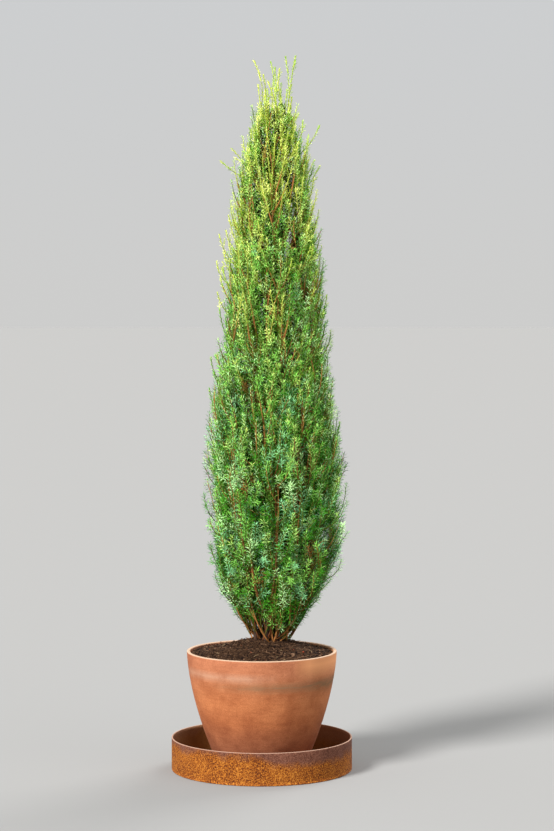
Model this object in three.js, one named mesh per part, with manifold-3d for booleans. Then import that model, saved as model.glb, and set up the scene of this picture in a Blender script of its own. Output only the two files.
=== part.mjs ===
// A columnar juniper: a clump of upright stems with a dense crown of needled shoots, growing in a
// round terracotta pot that stands in a shallow tray of rusted sheet steel.
// Millimetres, +Z up. The origin is the middle of the tray's flat underside, and -Y is the front.
// Heights inside the crown are counted from the soil at the trunk's foot.
import * as THREE from 'three';
import { mergeVertices } from 'three/addons/utils/BufferGeometryUtils.js';
import Module from 'manifold-3d';

// Driving dimensions
const SEAT_GAP = 0.3; // kept wherever one piece rests on or butts against another
const TRAY = { radius: 211, height: 76, sheet: 3, facets: 48 };
const POT = { rimRadius: 175, footRadius: 100, height: 275, wall: 8, floor: 14, bulge: 1.62, lip: 2, facets: 32 };
const SOIL = { belowRim: 9, mound: 31, plateau: 50, hollow: 1.6 }; // hollow curves the mound's flank
const TRUNK = {
  height: 1290, radius: 13, tipRadius: 1.2, taper: 0.85, flare: 8, flareHeight: 20, sides: 8, steps: 14,
};
const FOOT_X = 18; // the plant stands a little to the right of the pot's middle
const CROWN_SHIFT = { across: 12, height: 150 }; // the crown's axis moves further right within this height
const CROWN_SWAY = { across: 5, height: 700 }; // and swings to the back and to the front

// The crown's outline: height over the soil, then the reach of the foliage from the crown's axis.
const CROWN_OUTLINE = [
  [0, 38], [28, 54], [55, 82], [90, 115], [136, 140], [185, 153], [245, 160], [320, 165], [395, 165],
  [486, 152], [560, 142], [640, 133], [765, 123], [860, 115], [930, 106], [990, 95], [1060, 87],
  [1120, 82], [1155, 74], [1190, 60], [1230, 44], [1357, 40],
];
const CROWN_HEIGHT = CROWN_OUTLINE[CROWN_OUTLINE.length - 1][0];
const CROWN_LOBES = [0.035, 0.03]; // shares by which the outline swells in two lobes and in three

// The crown grows in four tiers. Each tier's masses share the circle, and start from turn degrees.
// top and slope give the conical face that parts a tier from the next one: it lies at top on the
// crown's axis and climbs by slope outwards, so that a tier's shoots stand outside the next tier's
// foot. shaft is the radius that is kept open round the trunk for the boughs of the tiers above.
// A mass has a dense core, which takes the share core of the outline, and this many twigs. bough is
// its bough's radius, and fork the height where that leaves the trunk: the lowest leave the soil, and
// the top masses grow from the trunk itself. lift and coreLift are how far above the underside of
// its space a mass's stem and core start.
const TIERS = [
  {
    name: 'lower', masses: 6, turn: 195, top: 235, slope: 1.2, shaft: 37,
    core: 0.82, twigs: 8, bough: 5, fork: 0, lift: 28, coreLift: 38,
  },
  {
    name: 'middle', masses: 5, turn: 175, top: 530, slope: 1.2, shaft: 26,
    core: 0.8, twigs: 7, bough: 6, fork: 150, lift: 6, coreLift: 8,
  },
  {
    name: 'upper', masses: 4, turn: 190, top: 810, slope: 1.2, shaft: 15,
    core: 0.76, twigs: 6, bough: 4.5, fork: 430, lift: 6, coreLift: 8,
  },
  {
    name: 'top', masses: 3, turn: 165, top: CROWN_HEIGHT, slope: 0, shaft: 8,
    core: 0.64, twigs: 4, bough: 4, fork: null, lift: -8, coreLift: 8,
  },
];
const CROWN_FOOT = { height: 10, slope: 0.45 }; // the crown's underside, in the same form as a tier's top

// Long shoots that stand out beyond the crown's outline: height, reach and direction in degrees.
const REACHING_SHOOTS = [
  [1356, 26, 28], [1348, 48, 350], [1341, 50, 170], [1337, 32, 250], [1325, 38, 75], [1318, 36, 290],
  [1309, 34, 140], [1107, 122, 180], [1134, 99, 170], [1185, 99, 2], [1077, 97, 0], [985, 106, 178],
  [940, 127, 184], [858, 143, 178], [812, 136, 188], [650, 146, 182], [575, 150, 174],
  [52, 74, 318], [56, 78, 215], [50, 68, 100],
];

// A forked bough leaves the trunk at a slant over rise, and then runs up beside it. Boughs of one
// tier fork forkStep apart in height.
const BOUGH = { taper: 0.72, footCircle: 34, rise: 34, forkStep: 26, clearance: 2, sides: 5, steps: 4 };
const STEM = { clearance: 8, headRoom: 12, taper: 0.55, reach: 0.4, sides: 5, steps: 3 };

// A core is a wedge with two corners next to the shaft and three outer ones. Its outer radius is
// narrower by the share foot at its foot, and by head at its head, and the middle corner bulges.
const CORE = {
  top: 1285, margin: 3, headRoom: 8, depth: 7, foot: 0.18, head: 0.22, sideCorner: 0.93, middleCorner: 1.04,
  ripple: 0.08, steps: 5, thinFrom: 1080, thinTo: 1230, thinning: 0.45,
};

// A twig climbs by steepness for each part outwards, bowed out by bow of its length and down by sag.
const TWIG = { radius: 3, tipRadius: 1.8, steepness: 1.7, bow: 0.1, sag: 6, leastBare: 0.22, mostBare: 0.6 };
const SIDE_SHOOT = { thickness: 0.7, length: 0.75, turn: 0.5, bare: 0.4, bow: 0.08 };
const SIDES = [1, 0, 0, -1, 0]; // which of a mass's twigs carry a side shoot, and to which side
const NEEDLE = { length: 22, lean: 0.72, tipShare: 0.7, clearance: 6 }; // lean: outwards for each part upwards
const WHORLS = { spacing: 27, least: 2, most: 4 };
const SPACE_MARGIN = 0.9; // what belongs to one mass stays this far inside the faces of its space
const TIP_MARGIN = 11; // twigs' tips keep this far from the sides of their mass's sector

// Where the stack of pieces lies
const POT_Z = TRAY.sheet + SEAT_GAP;
const RIM_Z = POT_Z + POT.height;
const SOIL_EDGE_Z = RIM_Z - SOIL.belowRim;
const GROUND_Z = SOIL_EDGE_Z + SOIL.mound;
const GOLDEN = 0.6180339887; // steps of this share of a range fill it evenly

const wasm = await Module();
wasm.setup();

// Solids and geometry

function solidOf(geometry) {
  const bare = geometry.clone();
  bare.deleteAttribute('normal');
  bare.deleteAttribute('uv');
  const merged = mergeVertices(bare, 1e-4);
  const triVerts = new Uint32Array(merged.index.array);
  const vertProperties = new Float32Array(merged.attributes.position.array);
  return new wasm.Manifold(new wasm.Mesh({ numProp: 3, vertProperties, triVerts }));
}

function geometryOf(solid) {
  const mesh = solid.getMesh();
  const geometry = new THREE.BufferGeometry();
  geometry.setAttribute('position', new THREE.BufferAttribute(new Float32Array(mesh.vertProperties), 3));
  geometry.setIndex(new THREE.BufferAttribute(new Uint32Array(mesh.triVerts), 1));
  return geometry;
}

// The largest body of a solid, without loose scraps and with any sealed hollow filled.
function largestBody(solid) {
  const bodies = solid.decompose();
  return bodies.reduce((best, body) => (body.volume() > best.volume() ? body : best));
}

// A closed cylinder whose vertices are moved to place(t, angle, out): t runs from 0 at its foot to 1
// at its head, and out is 1 on its wall and 0 at the middle of an end face.
function shapedCylinder(sides, steps, place) {
  const geometry = new THREE.CylinderGeometry(1, 1, 1, sides, steps);
  const position = geometry.attributes.position;
  const point = new THREE.Vector3();
  for (let i = 0; i < position.count; i++) {
    point.fromBufferAttribute(position, i);
    const out = Math.min(1, Math.hypot(point.x, point.z));
    const turn = Math.atan2(-point.z, point.x);
    point.copy(place(point.y + 0.5, turn, out < 0.5 ? 0 : 1));
    position.setXYZ(i, point.x, point.y, point.z);
  }
  return geometry;
}

// Two directions square to a curve's tangent, the first of them as near as it can be to level.
function frameAt(curve, t, level) {
  const tangent = curve.getTangent(t).normalize();
  const second = new THREE.Vector3().crossVectors(tangent, level).normalize();
  const first = new THREE.Vector3().crossVectors(second, tangent).normalize();
  return { tangent, first, second };
}

// A limb of round section that tapers along a curve, with both ends cut level.
function limbGeometry(curve, radiusAt, sides, steps, level = new THREE.Vector3(1, 0, 0)) {
  return shapedCylinder(sides, steps, (t, turn, out) => {
    const { first, second } = frameAt(curve, t, level);
    const radius = radiusAt(t) * out;
    const centre = curve.getPoint(t);
    const point = centre.clone()
      .addScaledVector(first, radius * Math.cos(turn))
      .addScaledVector(second, radius * Math.sin(turn));
    if (t < 0.001 || t > 0.999) point.z = centre.z;
    return point;
  });
}

// The crown's own measures

const mix = (a, b, share) => a + (b - a) * share;
const radians = (degrees) => (degrees * Math.PI) / 180;

// The value that a step keeps unchanged, found by repeating the step.
function settle(start, step) {
  let value = start;
  for (let i = 0; i < 12; i++) value = mix(value, step(value), 0.6);
  return value;
}

// The part after the decimal point of start plus count golden steps, from 0 to 1.
function evenShare(start, count) {
  const value = start + count * GOLDEN;
  return value - Math.floor(value);
}

function axisX(height) {
  return FOOT_X + CROWN_SHIFT.across * (1 - Math.exp(-Math.max(height, 0) / CROWN_SHIFT.height));
}

function axisY(height) {
  return CROWN_SWAY.across * Math.sin((Math.PI * height) / CROWN_SWAY.height);
}

// The reach of the foliage in one direction at one height, with the crown's soft lobes.
function crownReach(height, angle) {
  const inside = THREE.MathUtils.clamp(height, 1, CROWN_HEIGHT);
  const upper = CROWN_OUTLINE.findIndex(([top]) => top >= inside);
  const [lowHeight, lowReach] = CROWN_OUTLINE[upper - 1];
  const [highHeight, highReach] = CROWN_OUTLINE[upper];
  const reach = mix(lowReach, highReach, (inside - lowHeight) / (highHeight - lowHeight));
  const [two, three] = CROWN_LOBES;
  return reach * (1 + two * Math.sin(2 * angle + height / 90) + three * Math.sin(3 * angle - height / 70));
}

// A point at a radius and direction from the crown's axis.
function crownPoint(radius, angle, height) {
  return new THREE.Vector3(
    axisX(height) + radius * Math.cos(angle),
    axisY(height) + radius * Math.sin(angle),
    GROUND_Z + height,
  );
}

// Radius, direction and height of a point, as crownPoint takes them.
function crownPlace(point) {
  const height = point.z - GROUND_Z;
  const x = point.x - axisX(height);
  const y = point.y - axisY(height);
  return { radius: Math.hypot(x, y), angle: Math.atan2(y, x), height };
}

function trunkRadius(height) {
  const share = THREE.MathUtils.clamp(1 - height / TRUNK.height, 0, 1);
  const flare = TRUNK.flare * Math.exp(-height / TRUNK.flareHeight);
  return TRUNK.radius * share ** TRUNK.taper + TRUNK.tipRadius + flare;
}

// The planter

function makeTray() {
  const inner = TRAY.radius - TRAY.sheet;
  const profile = [
    [0, 0], [TRAY.radius, 0], [TRAY.radius, TRAY.height],
    [inner, TRAY.height], [inner, TRAY.sheet], [0, TRAY.sheet],
  ];
  return latheGeometry(profile, TRAY.facets);
}

// A profile of [radius, height] pairs, turned round the upright axis.
function latheGeometry(profile, facets) {
  const points = profile.map(([radius, height]) => new THREE.Vector2(radius, height));
  return new THREE.LatheGeometry(points, facets).rotateX(Math.PI / 2);
}

// The pot's outer radius at a share of its height: steep below and upright at the rim.
function potRadius(share) {
  return mix(POT.footRadius, POT.rimRadius, 1 - (1 - share) ** POT.bulge);
}

// Points on the pot's curve from one share of its height to another, moved inwards by inset.
function potCurve(from, to, steps, inset) {
  return Array.from({ length: steps + 1 }, (_, i) => {
    const share = mix(from, to, i / steps);
    return [potRadius(share) - inset, POT_Z + share * POT.height];
  });
}

// The pot's inner wall below the compost's edge, from the floor up. The compost's side follows it.
function potInside(inset) {
  return potCurve(POT.floor / POT.height, 1 - SOIL.belowRim / POT.height, 3, inset);
}

function makePot() {
  const outside = potCurve(0, 1 - POT.lip / POT.height, 6, 0);
  const profile = [
    [0, POT_Z], ...outside,
    [POT.rimRadius - POT.lip, RIM_Z], [POT.rimRadius - POT.wall + POT.lip, RIM_Z],
    [POT.rimRadius - POT.wall, RIM_Z - POT.lip],
    ...potInside(POT.wall).reverse(), [0, POT_Z + POT.floor],
  ];
  return latheGeometry(profile, POT.facets);
}

// Compost that fills the pot and rises in a low mound with a level top under the plant's foot.
function makeSoil() {
  const side = potInside(POT.wall + SEAT_GAP);
  side[0][1] += SEAT_GAP;
  const edge = side[side.length - 1][0];
  const mound = [0.75, 0.45].map((share) => [
    mix(SOIL.plateau, edge, share),
    SOIL_EDGE_Z + SOIL.mound * (1 - share) ** SOIL.hollow,
  ]);
  const profile = [[0, side[0][1]], ...side, ...mound, [SOIL.plateau, GROUND_Z], [0, GROUND_Z]];
  const geometry = latheGeometry(profile, POT.facets);
  const position = geometry.attributes.position;
  for (let i = 0; i < position.count; i++) {
    if (position.getZ(i) < SOIL_EDGE_Z + 1) continue;
    const radius = Math.hypot(position.getX(i), position.getY(i));
    position.setX(i, position.getX(i) + FOOT_X * (1 - radius / edge));
  }
  return geometry;
}

// Trunk and boughs

// The trunk from its flat foot to its tip. extra widens it, for cutting other pieces clear of it.
function trunkGeometry(extra) {
  const foot = SEAT_GAP - extra;
  const heightAt = (t) => mix(foot, TRUNK.height + extra, t ** 1.5);
  return shapedCylinder(TRUNK.sides, TRUNK.steps, (t, turn, out) => {
    const height = heightAt(t);
    return crownPoint((trunkRadius(height) + extra) * out, turn, height);
  });
}

const trunkClearance = solidOf(trunkGeometry(SEAT_GAP));

function boughRadius(mass, t) {
  return mass.tier.bough * mix(1, BOUGH.taper, t);
}

// Where a mass's stem starts, and its bough ends: just above the underside of its space.
function stemFoot(mass) {
  const radius = mass.tier.shaft + STEM.clearance;
  return { radius, height: mass.lowFace(radius) + mass.tier.lift };
}

// A bough of the lowest tier rises from the soil beside the trunk, and the others fork from it.
function boughCurve(mass) {
  const end = stemFoot(mass);
  const tip = crownPoint(end.radius, mass.angle, end.height);
  if (mass.tier.fork === 0) {
    const foot = crownPoint(BOUGH.footCircle, mass.angle, SEAT_GAP);
    const above = crownPoint(mix(BOUGH.footCircle, end.radius, 0.3), mass.angle, end.height / 2);
    return new THREE.QuadraticBezierCurve3(foot, above, tip);
  }
  const fork = mass.tier.fork + BOUGH.forkStep * (mass.index % 3);
  const beside = trunkRadius(fork) + mass.tier.bough + BOUGH.clearance;
  const run = Math.max(end.radius - STEM.clearance, beside);
  return new THREE.CatmullRomCurve3([
    crownPoint(0, mass.angle, fork),
    crownPoint(run * BOUGH.taper, mass.angle, fork + BOUGH.rise),
    crownPoint(run, mass.angle, mix(fork + BOUGH.rise, end.height, 0.5)),
    tip,
  ]);
}

function makeBough(mass) {
  const limb = limbGeometry(boughCurve(mass), (t) => boughRadius(mass, t), BOUGH.sides, BOUGH.steps);
  if (mass.tier.fork === 0) return limb;
  return geometryOf(largestBody(solidOf(limb).subtract(trunkClearance)));
}

// Foliage

// The masses of every tier, each with the space that it keeps to. level runs across its sector.
function layOutMasses() {
  const masses = [];
  let foot = CROWN_FOOT;
  for (const tier of TIERS) {
    const low = foot;
    const high = { height: tier.top, slope: tier.slope };
    for (let index = 0; index < tier.masses; index++) {
      const angle = radians(tier.turn + (index * 360) / tier.masses);
      masses.push({
        tier,
        index,
        angle,
        name: `${tier.name}_${index + 1}`,
        seed: masses.length / Math.E,
        halfAngle: Math.PI / tier.masses,
        lowFace: (radius) => low.height + low.slope * radius,
        highFace: (radius) => Math.min(high.height + high.slope * radius, CROWN_HEIGHT),
        level: new THREE.Vector3(-Math.sin(angle), Math.cos(angle), 0),
      });
    }
    foot = high;
  }
  return masses;
}

// How far a direction lies from the middle of a mass's sector, from -PI to PI.
function turnFrom(mass, angle) {
  return Math.atan2(Math.sin(angle - mass.angle), Math.cos(angle - mass.angle));
}

// True if a point lies inside a mass's space and clear of its faces.
function insideSpace(mass, point) {
  const { radius, angle, height } = crownPlace(point);
  const spare = mass.halfAngle - Math.abs(turnFrom(mass, angle));
  return (
    spare > 0 &&
    radius * Math.sin(Math.min(spare, Math.PI / 2)) > SPACE_MARGIN &&
    radius > mass.tier.shaft + SPACE_MARGIN &&
    height > mass.lowFace(radius) + SPACE_MARGIN &&
    height < mass.highFace(radius) - SPACE_MARGIN
  );
}

// The height at which one face of a mass's space comes out of the crown's outline.
function outerHeight(face, angle) {
  return settle(face(0), (height) => face(crownReach(height, angle)));
}

// The stem of a mass climbs through it from its bough's tip, or from the trunk's axis at the top.
function stemCurve(mass) {
  const foot = stemFoot(mass);
  const head = Math.min(mass.highFace(foot.radius), CORE.top) - STEM.headRoom;
  const reach = crownReach(head, mass.angle) * STEM.reach;
  const startRadius = mass.tier.fork === null ? 0 : foot.radius;
  return new THREE.QuadraticBezierCurve3(
    crownPoint(startRadius, mass.angle, foot.height + SEAT_GAP),
    crownPoint(mix(foot.radius, reach, 0.7), mass.angle, mix(foot.height, head, 0.4)),
    crownPoint(Math.max(foot.radius, reach), mass.angle, head),
  );
}

function stemRadius(mass, t) {
  return boughRadius(mass, 1) * mix(1, STEM.taper, t);
}

// The radius of a mass's dense core at a height.
function coreRadius(mass, height) {
  const thinning = CORE.thinning * THREE.MathUtils.smoothstep(height, CORE.thinFrom, CORE.thinTo);
  return crownReach(height, mass.angle) * mass.tier.core * (1 - thinning);
}

// The dense heart of a mass. t is the share of the way from its space's underside to its top.
function coreGeometry(mass) {
  const inner = (mass.tier.shaft + CORE.margin) / Math.cos(mass.halfAngle);
  const heightAt = (t, radius) => {
    const low = mass.lowFace(radius) + mass.tier.coreLift;
    const high = Math.min(mass.highFace(radius), CORE.top) - CORE.headRoom;
    return mix(low, high, t);
  };
  // Side of the sector and share of the outer radius for each corner, in order of the turn.
  const corners = [[0, CORE.middleCorner], [1, CORE.sideCorner], [1, 0], [-1, 0], [-1, CORE.sideCorner]];
  return shapedCylinder(corners.length, CORE.steps, (t, turn, out) => {
    const corner = Math.round((turn / Math.PI / 2 + 1) * corners.length) % corners.length;
    const [side, outerShare] = corners[corner];
    const foot = CORE.foot * Math.max(0, 1 - t / 0.35);
    const head = CORE.head * Math.max(0, (t - 0.75) / 0.25);
    const plain = settle(inner, (radius) => coreRadius(mass, heightAt(t, radius)));
    const outer = Math.max(inner + CORE.depth, plain * (1 - foot - head));
    if (!out) return crownPoint((inner + outer) / 2, mass.angle, heightAt(t, (inner + outer) / 2));
    const ripple = 1 + CORE.ripple * (evenShare(mass.seed, Math.round(t * CORE.steps) * 3 + corner) - 0.5);
    const radius = outerShare === 0 ? inner : outer * outerShare * ripple;
    const spread = mass.halfAngle - Math.asin(CORE.margin / radius);
    return crownPoint(radius, mass.angle + side * spread, heightAt(t, radius));
  });
}

// The three corners of a twig's section at t. Each ring is turned a sixth of a turn from the last.
function twigRing(curve, t, ring, radius, level) {
  const { first, second } = frameAt(curve, t, level);
  return [0, 1, 2].map((corner) => {
    const turn = ((corner * 2 + ring) * Math.PI) / 3;
    return curve.getPoint(t)
      .addScaledVector(first, radius * Math.cos(turn))
      .addScaledVector(second, radius * Math.sin(turn));
  });
}

// The point of a needle that grows from the face a, b, c and leans away from the twig's direction.
function needlePoint(a, b, c, tangent, length) {
  const across = new THREE.Vector3().subVectors(b, a);
  const along = new THREE.Vector3().subVectors(c, a);
  const outwards = across.cross(along).normalize();
  const way = tangent.clone().addScaledVector(outwards, NEEDLE.lean).normalize();
  return new THREE.Vector3().add(a).add(b).add(c).divideScalar(3).addScaledVector(way, length);
}

// A three-sided twig along a curve, bare up to one share of its length and needled from there on. Of
// the faces between two rings, every second one carries a needle, a slim pyramid, so the whorls of
// three alternate up the twig. A twig that would leave its mass's space gives null.
function needledTwig(mass, curve, bare, thickness) {
  const wanted = Math.round((curve.getLength() * (1 - bare)) / WHORLS.spacing);
  const whorls = THREE.MathUtils.clamp(wanted, WHORLS.least, WHORLS.most);
  const shares = [0, ...Array.from({ length: whorls + 1 }, (_, i) => mix(bare, 0.97, i / whorls))];
  const rings = shares.map((t, ring) => {
    return twigRing(curve, t, ring, mix(TWIG.radius, TWIG.tipRadius, t) * thickness, mass.level);
  });
  const tip = curve.getPoint(1);
  if (![...rings.slice(1).flat(), tip].every((point) => insideSpace(mass, point))) return null;
  const [start, head] = [rings[0], rings[rings.length - 1]];
  const corners = [start[0], start[2], start[1]];
  for (let ring = 0; ring + 1 < rings.length; ring++) {
    const tangent = curve.getTangent(shares[ring]).normalize();
    const length = NEEDLE.length * thickness * mix(1, NEEDLE.tipShare, (ring - 1) / whorls);
    for (let corner = 0; corner < 3; corner++) {
      const next = (corner + 1) % 3;
      const [a, b, c] = [rings[ring][corner], rings[ring][next], rings[ring + 1][corner]];
      const point = needlePoint(a, b, c, tangent, length);
      corners.push(c, b, rings[ring + 1][next]);
      if (ring > 0 && insideSpace(mass, point)) corners.push(a, b, point, b, c, point, c, a, point);
      else corners.push(a, b, c);
    }
  }
  for (let corner = 0; corner < 3; corner++) corners.push(head[corner], head[(corner + 1) % 3], tip);
  return solidOf(new THREE.BufferGeometry().setFromPoints(corners));
}

// The share of a twig's length at which it is clear of its mass's core.
function bareShare(mass, curve) {
  const samples = 40;
  for (let i = samples; i >= 0; i--) {
    const { radius, height } = crownPlace(curve.getPoint(i / samples));
    const clearRadius = coreRadius(mass, height) * CORE.middleCorner * (1 + CORE.ripple / 2) + NEEDLE.clearance;
    if (height > CORE.top || radius > clearRadius) continue;
    return THREE.MathUtils.clamp((i + 1) / samples, TWIG.leastBare, TWIG.mostBare);
  }
  return TWIG.leastBare;
}

// The point on a mass's stem from which a twig of the usual steepness reaches its tip.
function twigRoot(stem, tipRadius, tipHeight) {
  const samples = 30;
  let share = 0.05;
  for (let i = 2; i < samples - 1; i++) {
    const { radius, height } = crownPlace(stem.getPoint(i / samples));
    if (height < tipHeight - TWIG.steepness * (tipRadius - radius)) share = i / samples;
  }
  return stem.getPoint(share);
}

// A twig from a mass's stem to a tip in the crown's outline. A side shoot leaves it to one side, by
// the sign of side, and a side of 0 gives none.
function growTwig(mass, stem, tip, side) {
  const end = crownPlace(tip);
  const root = twigRoot(stem, end.radius, end.height);
  const middle = crownPlace(root.clone().lerp(tip, 0.55));
  const bow = TWIG.bow * root.distanceTo(tip);
  const bend = crownPoint(middle.radius + bow, middle.angle, middle.height - TWIG.sag);
  const curve = new THREE.QuadraticBezierCurve3(root, bend, tip);
  const bare = bareShare(mass, curve);
  const twig = needledTwig(mass, curve, bare, 1);
  if (!twig || side === 0) return [twig];
  const fork = curve.getPoint(bare * 0.92);
  const ahead = curve.getTangent(bare * 0.92).normalize();
  const across = new THREE.Vector3(-Math.sin(end.angle), Math.cos(end.angle), 0).multiplyScalar(side);
  const reach = curve.getLength() * (1 - bare) * SIDE_SHOOT.length;
  const sideTip = fork.clone()
    .addScaledVector(ahead, reach * Math.cos(SIDE_SHOOT.turn))
    .addScaledVector(across, reach * Math.sin(SIDE_SHOOT.turn));
  const sideBend = fork.clone().lerp(sideTip, 0.5).addScaledVector(across, reach * SIDE_SHOOT.bow);
  const sideCurve = new THREE.QuadraticBezierCurve3(fork, sideBend, sideTip);
  return [twig, needledTwig(mass, sideCurve, SIDE_SHOOT.bare, SIDE_SHOOT.thickness)];
}

// The tips that a mass's twigs grow to: spread over its part of the outline, and the long shoots.
function twigTips(mass) {
  const low = outerHeight(mass.lowFace, mass.angle);
  const high = outerHeight(mass.highFace, mass.angle);
  const tips = Array.from({ length: mass.tier.twigs }, (_, i) => {
    const height = mix(low, high, mix(0.02, 0.985, (i + 0.5) / mass.tier.twigs));
    const reach = crownReach(height, mass.angle) * mix(0.9, 1, evenShare(mass.seed + 0.5, i));
    const spread = mass.halfAngle - Math.asin(TIP_MARGIN / reach);
    const angle = mass.angle + spread * (2 * evenShare(mass.seed, i) - 1);
    return { tip: crownPoint(reach, angle, height), side: SIDES[i % SIDES.length] };
  });
  for (const [height, reach, degrees] of REACHING_SHOOTS) {
    const tip = crownPoint(reach, radians(degrees), height);
    if (insideSpace(mass, tip)) tips.push({ tip, side: 0 });
  }
  return tips;
}

// One mass of foliage: its stem, its core and its twigs, joined and cut clear of the trunk.
function makeMass(mass) {
  const stem = stemCurve(mass);
  const limb = limbGeometry(stem, (t) => stemRadius(mass, t), STEM.sides, STEM.steps, mass.level);
  const twigs = twigTips(mass).flatMap(({ tip, side }) => growTwig(mass, stem, tip, side));
  const heart = solidOf(coreGeometry(mass)).add(solidOf(limb));
  const whole = twigs.filter((twig) => twig !== null).reduce((solid, twig) => solid.add(twig), heart);
  return geometryOf(largestBody(whole.subtract(trunkClearance)));
}

// Assembly

const colours = {
  tray: { color: 0x9a5a2c, roughness: 0.9, metalness: 0.25 },
  pot: { color: 0xb8714c, roughness: 0.85, metalness: 0 },
  soil: { color: 0x3b2a22, roughness: 1, metalness: 0 },
  bark: { color: 0x7d4a2c, roughness: 0.95, metalness: 0 },
  foliageLow: { color: 0x4f7a45, roughness: 0.7, metalness: 0 },
  foliageTop: { color: 0x8fa84a, roughness: 0.7, metalness: 0 },
};

function piece(name, geometry, colour) {
  const mesh = new THREE.Mesh(geometry, new THREE.MeshStandardMaterial(colour));
  mesh.name = name;
  return mesh;
}

function makePlanter() {
  const planter = new THREE.Group();
  planter.add(piece('tray', makeTray(), colours.tray));
  planter.add(piece('pot', makePot(), colours.pot));
  planter.add(piece('soil', makeSoil(), colours.soil));
  return planter;
}

function makePlant() {
  const plant = new THREE.Group();
  plant.add(piece('trunk', trunkGeometry(0), colours.bark));
  for (const mass of layOutMasses()) {
    const colour = TIERS.indexOf(mass.tier) < 2 ? colours.foliageLow : colours.foliageTop;
    if (mass.tier.fork !== null) plant.add(piece(`bough_${mass.name}`, makeBough(mass), colours.bark));
    plant.add(piece(`foliage_${mass.name}`, makeMass(mass), colour));
  }
  return plant;
}

const pottedJuniper = new THREE.Group();
pottedJuniper.add(makePlanter());
pottedJuniper.add(makePlant());

export default pottedJuniper;
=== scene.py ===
"""A columnar juniper in a terracotta pot, standing in a shallow tray of rusted sheet steel.

Lengths are millimetres in the part's own frame, with +Z up and -Y the front, and a mesh is turned to
metres only when it is made. Heights inside the crown are counted from the compost at the trunk's foot.
Shapes are worked out as whole arrays: a name in the plural is an array with one row for each thing.
"""

import logging
from collections.abc import Callable, Sequence
from dataclasses import dataclass, field
from enum import Enum
from functools import partial

import bpy
import numpy as np
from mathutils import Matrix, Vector


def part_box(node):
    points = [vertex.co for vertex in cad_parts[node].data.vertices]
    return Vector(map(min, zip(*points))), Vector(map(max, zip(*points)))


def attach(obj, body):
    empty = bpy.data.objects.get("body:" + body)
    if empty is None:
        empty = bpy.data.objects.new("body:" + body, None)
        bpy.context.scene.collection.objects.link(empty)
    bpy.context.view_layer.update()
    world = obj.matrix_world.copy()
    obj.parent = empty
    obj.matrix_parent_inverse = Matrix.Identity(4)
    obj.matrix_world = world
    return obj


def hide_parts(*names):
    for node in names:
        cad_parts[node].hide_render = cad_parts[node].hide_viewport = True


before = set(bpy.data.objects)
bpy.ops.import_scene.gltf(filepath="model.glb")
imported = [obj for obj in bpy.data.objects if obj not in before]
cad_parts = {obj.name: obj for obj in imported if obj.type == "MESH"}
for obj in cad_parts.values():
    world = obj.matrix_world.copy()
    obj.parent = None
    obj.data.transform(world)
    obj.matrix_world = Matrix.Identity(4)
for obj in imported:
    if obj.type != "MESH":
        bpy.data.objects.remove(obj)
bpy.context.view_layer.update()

Array = np.ndarray
Mesh = tuple[Array, Array]  # points, and triangles of their numbers
Stops = tuple[tuple[float, str], ...]  # places along a colour ramp, and their hex colours
Socket = bpy.types.NodeSocket
MM = 0.001
TURN = 2 * np.pi
GOLDEN = 0.6180339887  # steps of this share of a range fill it evenly
PLASTIC = 0.7548776662  # the same for a second range, so that the two don't keep step
LIFT = 0.3  # millimetres between a limb's foot and what it grows from
MIX_A, MIX_B, MIX_OUT = 6, 7, 2  # the colour sockets of a mix node
SEED = 20
log = logging.getLogger("juniper")


# Numbers and vectors


def mix(low: Array | float, high: Array | float, share: Array | float) -> Array | float:
    """The value at a share of the way from low to high."""
    return low + (high - low) * share


def fraction(values: Array) -> Array:
    """The parts of the values after the decimal point."""
    return values - np.floor(values)


def unit(vectors: Array) -> Array:
    """The vectors at length 1."""
    return vectors / np.maximum(np.linalg.norm(vectors, axis=-1, keepdims=True), 1e-9)


def around(radii: Array | float, turns: Array, heights: Array | float) -> Array:
    """Points at distances, angles and heights round the upright axis: (r cos a, r sin a, z)."""
    return np.stack(np.broadcast_arrays(radii * np.cos(turns), radii * np.sin(turns), heights), axis=-1)


def quarter_turned(vectors: Array) -> Array:
    """Level vectors a quarter turn on from the given ones: (-y, x, 0)."""
    return vectors[..., [1, 0, 2]] * [-1, 1, 0]


def angles_round(sides: int) -> Array:
    """Angles of points spread evenly round a ring."""
    return np.arange(sides) * TURN / sides


def box_of(node: str) -> tuple[Array, Array]:
    """The lowest and highest corner of a node of the frame, in millimetres."""
    low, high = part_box(node)
    return np.array(low) / MM, np.array(high) / MM


def waves(points: Array, longest: float, shortest: float, count: int, seed: int) -> Array:
    """Smooth random relief: a sum of plane waves in random directions.

    Each wave is the cosine of the distance along its own direction, and its height is in proportion to its
    length, so that the long ones shape the lumps and the short ones roughen them.

    Args:
        points: Places, with one row for each and any number of coordinates.
        longest: Length of the longest wave.
        shortest: Length of the shortest wave.
        count: How many waves are added up.
        seed: Seed of the directions and phases.

    Returns:
        One value for each place, mostly between -1 and 1.
    """
    rng = np.random.default_rng(seed)
    lengths = longest * (shortest / longest) ** np.linspace(0, 1, count)
    directions = unit(rng.normal(size=(count, points.shape[-1]))) * (TURN / lengths)[:, None]
    heights = lengths / np.sqrt((lengths**2).sum() / 2)
    return np.cos(points @ directions.T + rng.uniform(0, TURN, count)) @ heights / 2


# Curves and skins


def along_curves(controls: Array, shares: Array) -> tuple[Array, Array]:
    """Points of quadratic curves, (1-t)^2 a + 2t(1-t) b + t^2 c, and their unit tangents.

    Args:
        controls: The three control points of each curve, shape (n, 3, 3).
        shares: Where on each curve, shape (n, k).

    Returns:
        Points and tangents, each of shape (n, k, 3).
    """
    a, b, c = (controls[:, None, i] for i in range(3))
    t = shares[..., None]
    points = (1 - t) ** 2 * a + 2 * t * (1 - t) * b + t**2 * c
    return points, unit((1 - t) * (b - a) + t * (c - b))


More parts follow.
